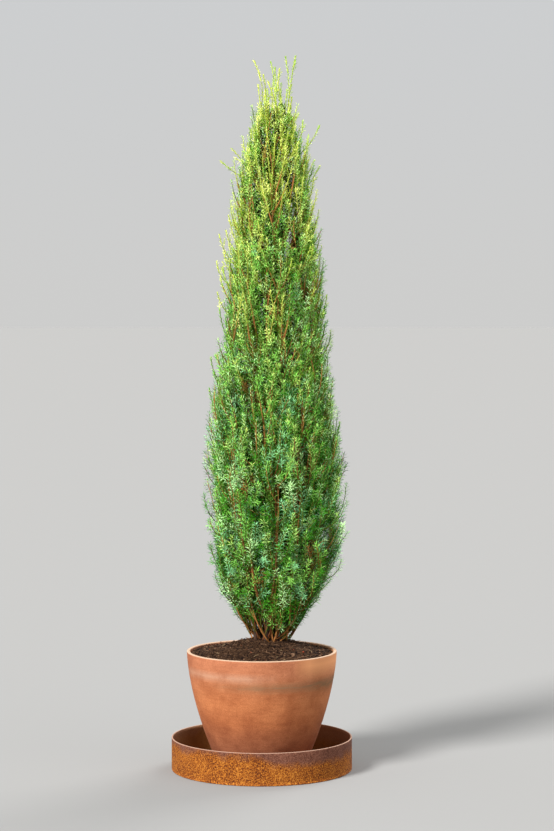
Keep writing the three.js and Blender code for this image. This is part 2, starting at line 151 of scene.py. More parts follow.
def curve_lengths(controls: Array) -> Array:
    """Lengths of quadratic curves, near enough the mean of the chord and the two legs."""
    legs = np.linalg.norm(np.diff(controls, axis=1), axis=-1).sum(axis=1)
    return (legs + np.linalg.norm(controls[:, 2] - controls[:, 0], axis=-1)) / 2


def smooth_path(corners: Array, rows: int) -> Array:
    """A smooth path of so many points through a few corners, as a Catmull-Rom spline.

    Between two corners the path is the cubic whose tangent at each of them is half the step from the
    corner before it to the corner after it.

    Args:
        corners: The corners, shape (n, 3).
        rows: Points of the path.

    Returns:
        Points, shape (rows, 3).
    """
    padded = np.vstack([2 * corners[0] - corners[1], corners, 2 * corners[-1] - corners[-2]])
    place = np.linspace(0, len(corners) - 1, rows)
    start = np.minimum(place.astype(int), len(corners) - 2)
    t = (place - start)[:, None]
    before, low, high, after = (padded[start + i] for i in range(4))
    cubic = (-before + 3 * low - 3 * high + after) * t**3
    square = (2 * before - 5 * low + 4 * high - after) * t**2
    return (2 * low + (high - before) * t + square + cubic) / 2


def side_directions(directions: Array, level: Array) -> tuple[Array, Array]:
    """Two unit vectors square to each direction, of which the first is as near as it can be to level."""
    second = unit(np.cross(directions, level))
    return np.cross(second, directions), second


def spokes(first: Array, second: Array, turns: Array) -> Array:
    """Unit vectors at angles from the first of two square directions: cos a first + sin a second."""
    return first * np.cos(turns)[..., None] + second * np.sin(turns)[..., None]


def rings_along(centres: Array, directions: Array, radii: Array, level: Array, sides: int) -> Array:
    """Rings of points round a path: centre + radius (cos a first + sin a second).

    Args:
        centres: Middle of each ring, shape (..., 3).
        directions: The path's tangent there, shape (..., 3).
        radii: Radius of each ring, or of each point of each ring, shape (...) or (..., sides).
        level: A vector square to the path or nearly so, which the first point of a ring lies towards.
        sides: Points of a ring.

    Returns:
        Points, shape (..., sides, 3).
    """
    first, second = side_directions(directions, level)
    radii = radii[..., None, None] if radii.ndim < centres.ndim else radii[..., None]
    ways = spokes(first[..., None, :], second[..., None, :], angles_round(sides))
    return centres[..., None, :] + radii * ways


def tube_triangles(rows: int, sides: int) -> int:
    """How many triangles skin makes of one tube."""
    return 2 * (rows - 1) * sides + 2 * (sides - 2)


def skin(rings: Array) -> Mesh:
    """Closes rows of rings into tubes.

    Each point is joined to its neighbour in the ring and to the two above them by two triangles, and a fan
    of triangles closes each end. Rings that turn counter-clockwise about the path give outward faces.

    Args:
        rings: Points, shape (tubes, rows, sides, 3).

    Returns:
        Points and triangles. The triangles of a tube follow one another.
    """
    tubes, rows, sides, _ = rings.shape
    row, side = np.meshgrid(np.arange(rows - 1), np.arange(sides), indexing="ij")
    low, low_next = row * sides + side, row * sides + (side + 1) % sides
    high, high_next = low + sides, low_next + sides
    wall = np.stack([low, low_next, high_next, low, high_next, high], axis=-1).reshape(-1, 3)
    fan = np.arange(1, sides - 1)
    foot = np.stack([np.zeros_like(fan), fan + 1, fan], axis=-1)
    head = np.stack([np.zeros_like(fan), fan, fan + 1], axis=-1) + (rows - 1) * sides
    pattern = np.concatenate([wall, foot, head])
    starts = np.arange(tubes) * rows * sides
    return rings.reshape(-1, 3), (pattern[None] + starts[:, None, None]).reshape(-1, 3)


def turned(profile: Array, sides: int) -> Array:
    """Rings of a profile, given as radii and heights, that is turned round the upright axis, for skin."""
    return around(profile[:, :1], angles_round(sides), profile[:, 1:])[None]


def arc(centre: Sequence[float], radius: float, start: float, end: float, steps: int) -> Array:
    """Points of a round corner in a profile, from one angle to another in degrees."""
    return centre + around(radius, np.radians(np.linspace(start, end, steps)), 0)[:, :2]


def join(meshes: Sequence[Mesh]) -> Mesh:
    """Puts the points and triangles of several meshes into one.

    Args:
        meshes: The meshes.

    Returns:
        One mesh, whose triangles keep their order.
    """
    starts = np.cumsum([0] + [len(points) for points, _ in meshes[:-1]])
    points = np.concatenate([points for points, _ in meshes])
    return points, np.concatenate([faces + start for (_, faces), start in zip(meshes, starts)])


def make_piece(
    name: str,
    mesh_data: Mesh,
    materials: Sequence[bpy.types.Material],
    slots: Array | None = None,
    smooth: bool = True,
) -> bpy.types.Object:
    """Makes one piece of the object from arrays.

    Args:
        name: The piece's name.
        mesh_data: Points in millimetres and triangles.
        materials: Its finishes, in the order of its slots.
        slots: The slot of each triangle, or None where there is one finish.
        smooth: Whether its faces are shaded as one surface.

    Returns:
        The piece, which rides on the frame's only body.
    """
    points, triangles = mesh_data
    mesh = bpy.data.meshes.new(name)
    mesh.vertices.add(len(points))
    mesh.vertices.foreach_set("co", (points * MM).astype(np.float32).ravel())
    mesh.loops.add(triangles.size)
    mesh.loops.foreach_set("vertex_index", triangles.astype(np.int32).ravel())
    mesh.polygons.add(len(triangles))
    mesh.polygons.foreach_set("loop_start", np.arange(0, triangles.size, 3, dtype=np.int32))
    for material in materials:
        mesh.materials.append(material)
    if slots is not None:
        mesh.polygons.foreach_set("material_index", slots.astype(np.int32))
    mesh.polygons.foreach_set("use_smooth", np.full(len(triangles), smooth))
    mesh.update(calc_edges=True)
    piece = bpy.data.objects.new(name, mesh)
    bpy.context.scene.collection.objects.link(piece)
    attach(piece, "root")
    log.info("%s: %d triangles", name, len(triangles))
    return piece


def dress(piece: bpy.types.Object, slot: str, *nodes: str) -> None:
    """Hides the frame's nodes that a piece stands for."""
    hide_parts(*nodes)


# Materials


def linear(colour: str) -> tuple[float, float, float, float]:
    """Turns an sRGB hex colour such as #c08040 to linear red, green and blue, with an alpha of 1.

    Args:
        colour: The hex colour.

    Returns:
        Linear red, green, blue and alpha.
    """
    shares = np.array([int(colour[i : i + 2], 16) for i in (1, 3, 5)]) / 255
    low = shares / 12.92
    high = ((shares + 0.055) / 1.055) ** 2.4
    return (*np.where(shares <= 0.04045, low, high).tolist(), 1.0)


def per_metre(size: float) -> float:
    """The scale of a texture whose pattern repeats about every size millimetres."""
    return 1 / (size * MM)


def set_up(node: bpy.types.Node, settings: dict, links: dict) -> None:
    """Gives a node its settings, each an attribute or an input's value, and joins inputs to outputs.

    Args:
        node: The node.
        settings: Values, by attribute or by input.
        links: The output that each input is joined to.
    """
    for key, value in settings.items():
        if isinstance(key, str) and hasattr(node, key):
            setattr(node, key, value)
        else:
            node.inputs[key].default_value = value
    for key, output in links.items():
        node.id_data.links.new(output, node.inputs[key])


def add_node(
    tree: bpy.types.NodeTree,
    kind: str,
    settings: dict | None = None,
    links: dict | None = None,
    stops: Stops = (),
    output: int | str = 0,
) -> Socket:
    """Adds one node.

    Args:
        tree: The node tree that it goes into.
        kind: The node's type, without the ShaderNode that each starts with.
        settings: Values for its attributes and its inputs, by name or by the input's number.
        links: The output that each input is joined to.
        stops: Position and hex colour of each stop of a colour ramp.
        output: Name or number of the output that is wanted.

    Returns:
        That output.
    """
    node = tree.nodes.new("ShaderNode" + kind)
    set_up(node, settings or {}, links or {})
    for index, (position, colour) in enumerate(stops):
        ramp = node.color_ramp.elements
        stop = ramp[index] if index < len(ramp) else ramp.new(position)
        stop.position = position
        stop.color = linear(colour)
    return node.outputs[output]


def new_material(name: str) -> tuple[bpy.types.Material, bpy.types.Node, Callable[..., Socket], Socket]:
    """A new material, its principled shader, what adds nodes to it, and the place on the piece.

    Args:
        name: The material's name.

    Returns:
        The four of them.
    """
    material = bpy.data.materials.new(name)
    material.use_nodes = True
    add = partial(add_node, material.node_tree)
    return material, material.node_tree.nodes["Principled BSDF"], add, add("TexCoord", output="Object")


@dataclass(frozen=True)
class StainOrPaintedLight:
    """A patch of colour on the pot: a real stain, painted shade or painted light.

    It fades in across the pot from the first x of side to the second, is broken up by a named pattern if
    it has one, and within band, which holds shares of the pot's height, it starts, is strongest and ends.
    """

    side: tuple[float, float]
    pattern: str
    band: tuple[float, float, float]
    colour: str
    strength: float


@dataclass(frozen=True)
class Terracotta:
    """Fired, unglazed earthenware, pressed on a turning mould.

    To the eye it is matt and soft orange, in level streaks and fine specks. A pale lime bloom lies under the
    rim over a darker, olive band, and the foot is purple-brown, darkened further by painted shade from the
    tray. On the right, painted shade darkens the body and deepens the olive band, and painted light
    brightens the top. The lip is paler, partly from wear and partly as a painted highlight.
    """

    foot_z: float
    rim_z: float
    roughness: float = 0.85
    ior: float = 1.45
    specular: float = 0.2
    # Colours up the pot. The darker foot is partly the clay's purple-brown and partly painted shade from the
    # tray round it.
    heights: Stops = (
        (0.0, "#7e4e37"), (0.13, "#9d6045"), (0.3, "#b46f4b"), (0.46, "#c17549"),
        (0.62, "#ca7e4f"), (0.74, "#c2794e"), (0.86, "#c07b56"), (1.0, "#c17b57"),
    )
    stains_and_painted_light: tuple[StainOrPaintedLight, ...] = (
        StainOrPaintedLight((-200, 0), "streaks", (0.71, 0.77, 0.83), "#86674b", 0.85),
        StainOrPaintedLight((90, -30), "clouds", (0.79, 0.85, 0.9), "#be9d84", 0.42),
        # Painted shade: darkens the right side of the body, away from the main light.
        StainOrPaintedLight((50, 150), "streaks", (0.1, 0.4, 0.8), "#645134", 0.3),
        # The olive band on the right, under the rim: part real stain, part painted shade.
        StainOrPaintedLight((50, 150), "streaks", (0.66, 0.76, 0.84), "#645134", 0.6),
        # Painted light: brightens the top of the right side, as if more light fell there.
        StainOrPaintedLight((50, 150), "", (0.8, 0.94, 1.2), "#e29c6a", 0.95),
    )
    # The lip's paler colour: partly wear, and partly a painted highlight where the rounded edge catches the
    # sky.
    lip: str = "#c0a086"
    cloud_size: float = 48.0
    streak: float = 5.0
    streak_run: float = 0.12  # how much shorter the streaks are upwards than along
    line_spacing: float = 2.6
    grain: float = 1.7  # coarser than the real grit, so that it shows

    def build(self) -> bpy.types.Material:
        """Builds the node tree: colour by height with painted shade at the foot, specks and streaks, stains
        and patches of painted shade and light, the lip's wear and painted highlight, lines and grit.

        Returns:
            The material.
        """
        material, shader, add, place = new_material("unglazed_terracotta")
        axes = add("SeparateXYZ", links={"Vector": place}).node.outputs
        share = add(
            "MapRange", {"From Min": self.foot_z * MM, "From Max": self.rim_z * MM}, {"Value": axes["Z"]}
        )
        level = add("Mapping", {"Scale": (self.streak_run, self.streak_run, 1.0)}, {"Vector": place})
        sizes = (
            (self.cloud_size, 5.0, 0.6, place), (self.streak, 6.0, 0.7, level), (self.grain, 3.0, 0.7, place),
        )
        clouds, streaks, grit = (
            add("TexNoise", {"Scale": per_metre(size), "Detail": detail, "Roughness": fine}, {"Vector": over})
            for size, detail, fine, over in sizes
        )
        drift = add("Math", {"operation": "MULTIPLY_ADD", 1: 0.16, 2: -0.08}, {0: clouds})
        moved = add("Math", {"operation": "ADD"}, {0: share, 1: drift})
        colour = add("ValToRGB", links={"Fac": moved}, stops=self.heights)
        shades = ((streaks, "#c4b4a8", 0.3), (grit, "#a8968a", 0.6), (clouds, "#cfbcb2", 0.7))
        for pattern, dark, amount in shades:
            shade = add("ValToRGB", links={"Fac": pattern}, stops=((0.32, dark), (0.6, "#ffffff")))
            settings = {"data_type": "RGBA", "blend_type": "MULTIPLY", "Factor": amount}
            colour = add("Mix", settings, {MIX_A: colour, MIX_B: shade}, output=MIX_OUT)
        patterns = {"streaks": streaks, "clouds": clouds}
        for stain_or_light in self.stains_and_painted_light:
            start, end = stain_or_light.side
            side = add("MapRange", {"From Min": start * MM, "From Max": end * MM}, {"Value": axes["X"]})
            broken = {1: patterns[stain_or_light.pattern]} if stain_or_light.pattern else {}
            pattern = add("Math", {"operation": "MULTIPLY", 1: 1.0}, {0: side, **broken})
            amount = self.amount(add, stain_or_light, share, pattern)
            settings = {"data_type": "RGBA", MIX_B: linear(stain_or_light.colour)}
            colour = add("Mix", settings, {"Factor": amount, MIX_A: colour}, output=MIX_OUT)
        # The lip: partly worn, partly a painted highlight on the rounded edge.
        edge = add(
            "MapRange", {"From Min": (self.rim_z - 2.4) * MM, "From Max": (self.rim_z - 0.8) * MM},
            {"Value": axes["Z"]},
        )
        settings = {"data_type": "RGBA", MIX_B: linear(self.lip)}
        worn_and_lit = add("Mix", settings, {"Factor": edge, MIX_A: colour}, output=MIX_OUT)
        lines = add("TexNoise", {"Scale": per_metre(self.line_spacing), "Detail": 2.0}, {"Vector": level})
        relief = add("Math", {"operation": "ADD"}, {0: lines, 1: grit})
        bump = add("Bump", {"Strength": 0.4, "Distance": 0.5 * MM}, {"Height": relief})
        rough = add(
            "MapRange", {"To Min": self.roughness - 0.1, "To Max": self.roughness + 0.1}, {"Value": clouds}
        )
        set_up(
            shader, {"IOR": self.ior, "Specular IOR Level": self.specular},
            {"Base Color": worn_and_lit, "Normal": bump, "Roughness": rough},
        )
        return material

    @staticmethod
    def amount(add: Callable[..., Socket], stain_or_light: StainOrPaintedLight, height: Socket, pattern: Socket) -> Socket:
        """How much of a stain or patch of painted shade or light shows, given the share of the pot's height
        and its pattern.

        Args:
            add: Adds a node to the material.
            stain_or_light: The stain, or the patch of painted shade or light.
            height: Share of the pot's height.
            pattern: Its pattern.

        Returns:
            A factor from 0 to its strength.
        """
        low, middle, high = stain_or_light.band
        rise = add("MapRange", {"From Min": low, "From Max": middle}, {"Value": height})
        fall = add("MapRange", {"From Min": high, "From Max": middle}, {"Value": height})
        within = add("Math", {"operation": "MULTIPLY"}, {0: rise, 1: fall})
        limits = {"From Min": 0.2, "From Max": 0.6, "To Max": stain_or_light.strength}
        thin = add("MapRange", limits, {"Value": pattern})
        return add("Math", {"operation": "MULTIPLY"}, {0: within, 1: thin})


@dataclass(frozen=True)
class RustedSteel:
    """Sheet steel left outdoors until its rust has become a firm, matt coat.

    To the eye it is a fine speckle of orange and dark brown, without any metal shine, which turns an even
    purple-brown towards the rim, where rain wets it less often.
    """

    name: str
    speckle: Stops
    upper: Stops
    change_z: float  # the height at which the speckle gives way to the even coat on the left
    rim_z: float = 76.0
    # The rim's paler colour: partly a worn, bare edge, and partly a painted highlight along it.
    rim: str = "#b99580"
    drop: float = 20.0  # how much lower it does so on the right
    blend: float = 9.0
    grain: float = 2.5  # coarser than the real speckle, so that it shows
    blotch_size: float = 38.0
    blotch: float = 0.16
    pit: float = 2.2
    roughness: float = 0.88
    specular: float = 0.2

    def build(self) -> bpy.types.Material:
        """Builds the node tree: speckle, even upper coat, an edge that is partly worn and partly a painted
        highlight, and pitted relief.

        Returns:
            The material.
        """
        material, shader, add, place = new_material(self.name)
        axes = add("SeparateXYZ", links={"Vector": place}).node.outputs
        grains = add(
            "TexNoise", {"Scale": per_metre(self.grain), "Detail": 3.0, "Roughness": 0.65}, {"Vector": place}
        )
        blotches = add("TexNoise", {"Scale": per_metre(self.blotch_size), "Detail": 4.0}, {"Vector": place})
        settings = {"operation": "MULTIPLY_ADD", 1: self.blotch, 2: -self.blotch / 2}
        lifted = add("Math", settings, {0: blotches})
        pattern = add("Math", {"operation": "ADD"}, {0: grains, 1: lifted})
        rust = add("ValToRGB", links={"Fac": pattern}, stops=self.speckle)
        even = add("ValToRGB", links={"Fac": pattern}, stops=self.upper)
        ragged = add("Math", {"operation": "MULTIPLY_ADD", 1: 0.05, 2: -0.025}, {0: blotches})
        lower = add(
            "MapRange", {"From Min": -0.05, "From Max": 0.09, "To Max": self.drop * MM}, {"Value": axes["X"]}
        )
        uneven = add("Math", {"operation": "ADD"}, {0: ragged, 1: lower})
        height = add("Math", {"operation": "ADD"}, {0: axes["Z"], 1: uneven})
        start, end = self.change_z - self.blend, self.change_z + self.blend
        limits = {"From Min": start * MM, "From Max": end * MM}
        change = add("MapRange", limits, {"Value": height})
        links = {"Factor": change, MIX_A: rust, MIX_B: even}
        coat = add("Mix", {"data_type": "RGBA"}, links, output=MIX_OUT)
        # The rim: partly worn, partly a painted highlight along the edge.
        limits = {"From Min": (self.rim_z - 1.6) * MM, "From Max": (self.rim_z - 0.4) * MM, "To Max": 0.8}
        edge = add("MapRange", limits, {"Value": axes["Z"]})
        settings = {"data_type": "RGBA", MIX_B: linear(self.rim)}
        worn_and_lit = add("Mix", settings, {"Factor": edge, MIX_A: coat}, output=MIX_OUT)
        pits = add("TexVoronoi", {"Scale": per_metre(self.pit), "Randomness": 1.0}, {"Vector": place})
        relief = add("Math", {"operation": "ADD"}, {0: grains, 1: pits})
        bump = add("Bump", {"Strength": 0.5, "Distance": 0.6 * MM}, {"Height": relief})
        rough = add(
            "MapRange", {"To Min": self.roughness - 0.12, "To Max": self.roughness + 0.1}, {"Value": grains}
        )
        set_up(
            shader, {"Specular IOR Level": self.specular},
            {"Base Color": worn_and_lit, "Normal": bump, "Roughness": rough},
        )
        return material


@dataclass(frozen=True)
class GrainedFinish:
    """A matt, natural finish with one pattern, which gives it both its colours and its relief."""

    name: str
    stops: Stops
    grain: float
    stretch: float  # how many times longer the grains are upwards
    detail: float
    fine: float  # how strong the finest detail is
    relief: tuple[float, float]  # the strength of the relief, and its depth
    roughness: float
    specular: float

    def build(self) -> bpy.types.Material:
        """Builds the node tree: grains that give colour and relief.

        Returns:
            The material.
        """
        material, shader, add, place = new_material(self.name)
        upright = add("Mapping", {"Scale": (1.0, 1.0, 1 / self.stretch)}, {"Vector": place})
        settings = {"Scale": per_metre(self.grain), "Detail": self.detail, "Roughness": self.fine}
        grains = add("TexNoise", settings, {"Vector": upright})
        colour = add("ValToRGB", links={"Fac": grains}, stops=self.stops)
        strength, depth = self.relief
        bump = add("Bump", {"Strength": strength, "Distance": depth * MM}, {"Height": grains})
        set_up(
            shader, {"Roughness": self.roughness, "Specular IOR Level": self.specular},
            {"Base Color": colour, "Normal": bump},
        )
        return material


# Damp bark-and-peat compost is dark brown and crumbly, with coarse dark and reddish specks.
POTTING_COMPOST = GrainedFinish(
    "damp_potting_compost", ((0.32, "#0c0604"), (0.46, "#27180e"), (0.58, "#412d1d"), (0.74, "#644a36")),
    grain=5.0, stretch=1.0, detail=6.0, fine=0.7, relief=(0.9, 1.5), roughness=0.95, specular=0.1,
)
# The bark of juniper stems is thin and red-brown, and peels in long upright strips with greyer edges.
# Its colours are darkened towards black as painted shade, for the trunk and boughs stand deep in the crown.
FIBROUS_BARK = GrainedFinish(
    "fibrous_juniper_bark", ((0.3, "#0e0804"), (0.45, "#301e10"), (0.6, "#523420"), (0.78, "#6d523a")),
    grain=2.4, stretch=12.5, detail=4.0, fine=0.6, relief=(0.8, 0.8), roughness=0.9, specular=0.5,
)


@dataclass(frozen=True)
class PlainFinish:
    """One even colour whose gloss varies a little, for things too small to carry a pattern of their own."""

    name: str
    colour: str
    roughness: float
    spread: float = 0.12
    patch: float = 4.0
    specular: float = 0.1

    def build(self) -> bpy.types.Material:
        """Builds the node tree: a plain base colour and a roughness that varies over a few millimetres.

        Returns:
            The material.
        """
        material, shader, add, place = new_material(self.name)
        patches = add("TexNoise", {"Scale": per_metre(self.patch), "Detail": 1.0}, {"Vector": place})
        limits = {"To Min": self.roughness - self.spread, "To Max": self.roughness + self.spread}
        rough = add("MapRange", limits, {"Value": patches})
        settings = {"Base Color": linear(self.colour), "Specular IOR Level": self.specular}
        set_up(shader, settings, {"Roughness": rough})
        return material


class Palette(Enum):
    """Named colours, in the order of a piece's slots."""

    @property
    def number(self) -> int:
        """The colour's place in that order."""
        return list(type(self)).index(self)

    @staticmethod
    def deal(rng: np.random.Generator, count: int, odds: "dict[Palette, float]") -> Array:
        """Numbers of colours picked at random, each as often as its odds say."""
        return rng.choice([colour.number for colour in odds], count, p=list(odds.values()))


class Tint(Palette):
    """Colours of whole sprays, from dead ones and the painted shade of inner ones out to the young tips.

    The first colour is the needle's upper face, paler because of its band of white wax, and the second is
    its underside.
    """

    DEAD = ("#94602e", "#5e3a1c")
    # Painted shade: a near-black green for sprays deep inside the crown and low near the ground, where shade
    # falls.
    PAINTED_SHADE = ("#1b440d", "#0b2704")
    DEEP = ("#469a20", "#166006")
    BLUE = ("#8ed692", "#247a20")
    GLAUCOUS = ("#c0eea0", "#409426")
    LEAF = ("#94de5e", "#349012")
    FRESH = ("#c0ec7c", "#6cb42e")
    YELLOW = ("#dcf27c", "#a0ca3c")
    GOLD = ("#f4f890", "#cede52")


class TwigBark(Palette):
    """Colours of the bark of shoots, by age."""

    GREEN = "#b0bc4c"
    OLIVE = "#627028"
    ORANGE = "#a8703c"
    RED = "#7c4a2a"


class CompostBit(Palette):
    """Colours of the loose bits on the compost."""

    DARK = "#180d09"
    BROWN = "#4c3524"
    TAN = "#735640"
    STRAW = "#977e5c"
    RED = "#8a3a24"


# The planter


@dataclass
class Tray:
    """The round tray: a flat floor and an upright wall of thin sheet, open at the top."""

    sheet: float = 3.0
    edge: float = 0.9
    corner: float = 2.0
    sides: int = 288
    wall_rows: int = 12
    wave: float = 0.35  # the wall is not quite true
    outside: RustedSteel = RustedSteel(
        "rusted_sheet_steel",
        ((0.36, "#421a08"), (0.46, "#72380a"), (0.54, "#9c5614"), (0.64, "#bf7e30")),
        ((0.34, "#442518"), (0.5, "#663c2c"), (0.66, "#845845")),
        65,
    )
    inside: RustedSteel = RustedSteel(
        "wet_rusted_sheet_steel",
        ((0.3, "#734b21"), (0.7, "#8d5c2f")),
        ((0.3, "#754b2d"), (0.7, "#8d6444")),
        60,
    )

    def build(self) -> None:
        """Makes the tray from its profile, with one finish on its outer faces and one on its inner ones."""
        low, high = box_of("tray")
        radius, base, top = high[0], low[2], high[2]
        inner = radius - self.sheet
        lip, foot = top - self.edge, self.sheet + self.corner
        outer = np.vstack([
            [[radius * 0.5, base]],
            arc((radius - self.corner, base + self.corner), self.corner, -90, 0, 5),
            self.wall(radius, self.corner, lip),
            arc((radius - self.edge, lip), self.edge, 0, 90, 4)[1:],
        ])
        inside = np.vstack([
            arc((inner + self.edge, lip), self.edge, 90, 180, 4),
            self.wall(inner, lip, foot),
            arc((inner - self.corner, foot), self.corner, 0, -90, 5),
            [[inner * 0.5, self.sheet]],
        ])
        rings = self.bend_wall(turned(np.vstack([outer, inside]), self.sides), radius, top)
        mesh = skin(rings)
        face_row = np.minimum(np.arange(len(mesh[1])) // (2 * self.sides), rings.shape[1] - 1)
        slots = np.where(face_row >= len(outer), 1, 0)
        fan = self.sides - 2
        slots[-2 * fan : -fan] = 0
        finishes = [self.outside.build(), self.inside.build()]
        dress(make_piece("tray_steel", mesh, finishes, slots), "tray", "tray")

    def wall(self, radius: float, start: float, end: float) -> Array:
        """The straight part of one face of the wall, between two heights."""
        return np.stack([np.full(self.wall_rows, radius), np.linspace(start, end, self.wall_rows)], axis=-1)

    def bend_wall(self, rings: Array, radius: float, top: float) -> Array:
        """Moves the wall in and out a little: inwards by a slow wave round it that grows with the height.

        Args:
            rings: The tray's rings.
            radius: Outer radius of the wall.
            top: Height of the rim.

        Returns:
            The rings, bent.
        """
        turns = np.arctan2(rings[..., 1], rings[..., 0])
        slow = 0.5 - 0.5 * np.cos(2 * turns + 0.7) * np.cos(3 * turns + 2.1)
        rise = np.clip(rings[..., 2] / top, 0, 1)
        scale = 1 - self.wave * slow * rise / radius
        return rings * np.stack([scale, scale, np.ones_like(scale)], axis=-1)


@dataclass
class Pot:
    """The round pot, steep at its foot and upright at its rim, with a rounded lip."""

    foot_radius: float = 100.0
    wall: float = 8.0
    floor: float = 14.0
    bulge: float = 1.62
    lip: float = 3.0
    rim_edge: float = 1.6
    foot_edge: float = 3.0
    sides: int = 256
    rows: int = 90
    inner_rows: int = 24
    line_depth: float = 0.16
    line_waves: tuple[float, float, int] = (26.0, 5.0, 9)  # longest, shortest and how many

    def __post_init__(self) -> None:
        """Takes the pot's height and rim from the frame."""
        low, high = box_of("pot")
        self.base, self.rim, self.rim_radius = low[2], high[2], high[0]

    def radius(self, shares: Array) -> Array:
        """Outer radius at shares of the height: foot + (rim - foot) (1 - (1 - share)^bulge)."""
        return mix(self.foot_radius, self.rim_radius, 1 - (1 - shares) ** self.bulge)

    def inner_radius(self, heights: Array) -> Array:
        """Radius of the inner wall at heights above the part's underside."""
        return self.radius((heights - self.base) / (self.rim - self.base)) - self.wall

    def build(self) -> None:
        """Makes the pot: foot, outer wall with the mould's level lines, lip, inner wall and floor."""
        height = self.rim - self.base
        shares = np.linspace(self.foot_edge / height, 1 - self.rim_edge / height, self.rows)
        heights = self.base + shares * height
        lines = waves(heights[:, None], *self.line_waves, SEED) * self.line_depth
        outer = np.stack([self.radius(shares) + np.minimum(lines, 0), heights], axis=-1)
        inner_heights = np.linspace(self.rim - self.lip, self.base + self.floor, self.inner_rows)
        inner = np.stack([self.inner_radius(inner_heights), inner_heights], axis=-1)
        corner = (self.rim_radius - self.rim_edge, self.rim - self.rim_edge)
        lip_out = arc(corner, self.rim_edge, 0, 90, 5)[1:]
        lip_in = arc((self.rim_radius - self.wall + self.lip, self.rim - self.lip), self.lip, 90, 180, 7)
        foot_x = self.radius(shares[0]) - self.foot_edge
        foot = arc((foot_x, self.base + self.foot_edge), self.foot_edge, -90, -10, 5)
        profile = np.vstack([[[foot_x * 0.6, self.base]], foot, outer, lip_out, lip_in, inner[1:]])
        mesh = skin(turned(profile, self.sides))
        dress(make_piece("pot_terracotta", mesh, [Terracotta(self.base, self.rim).build()]), "pot", "pot")


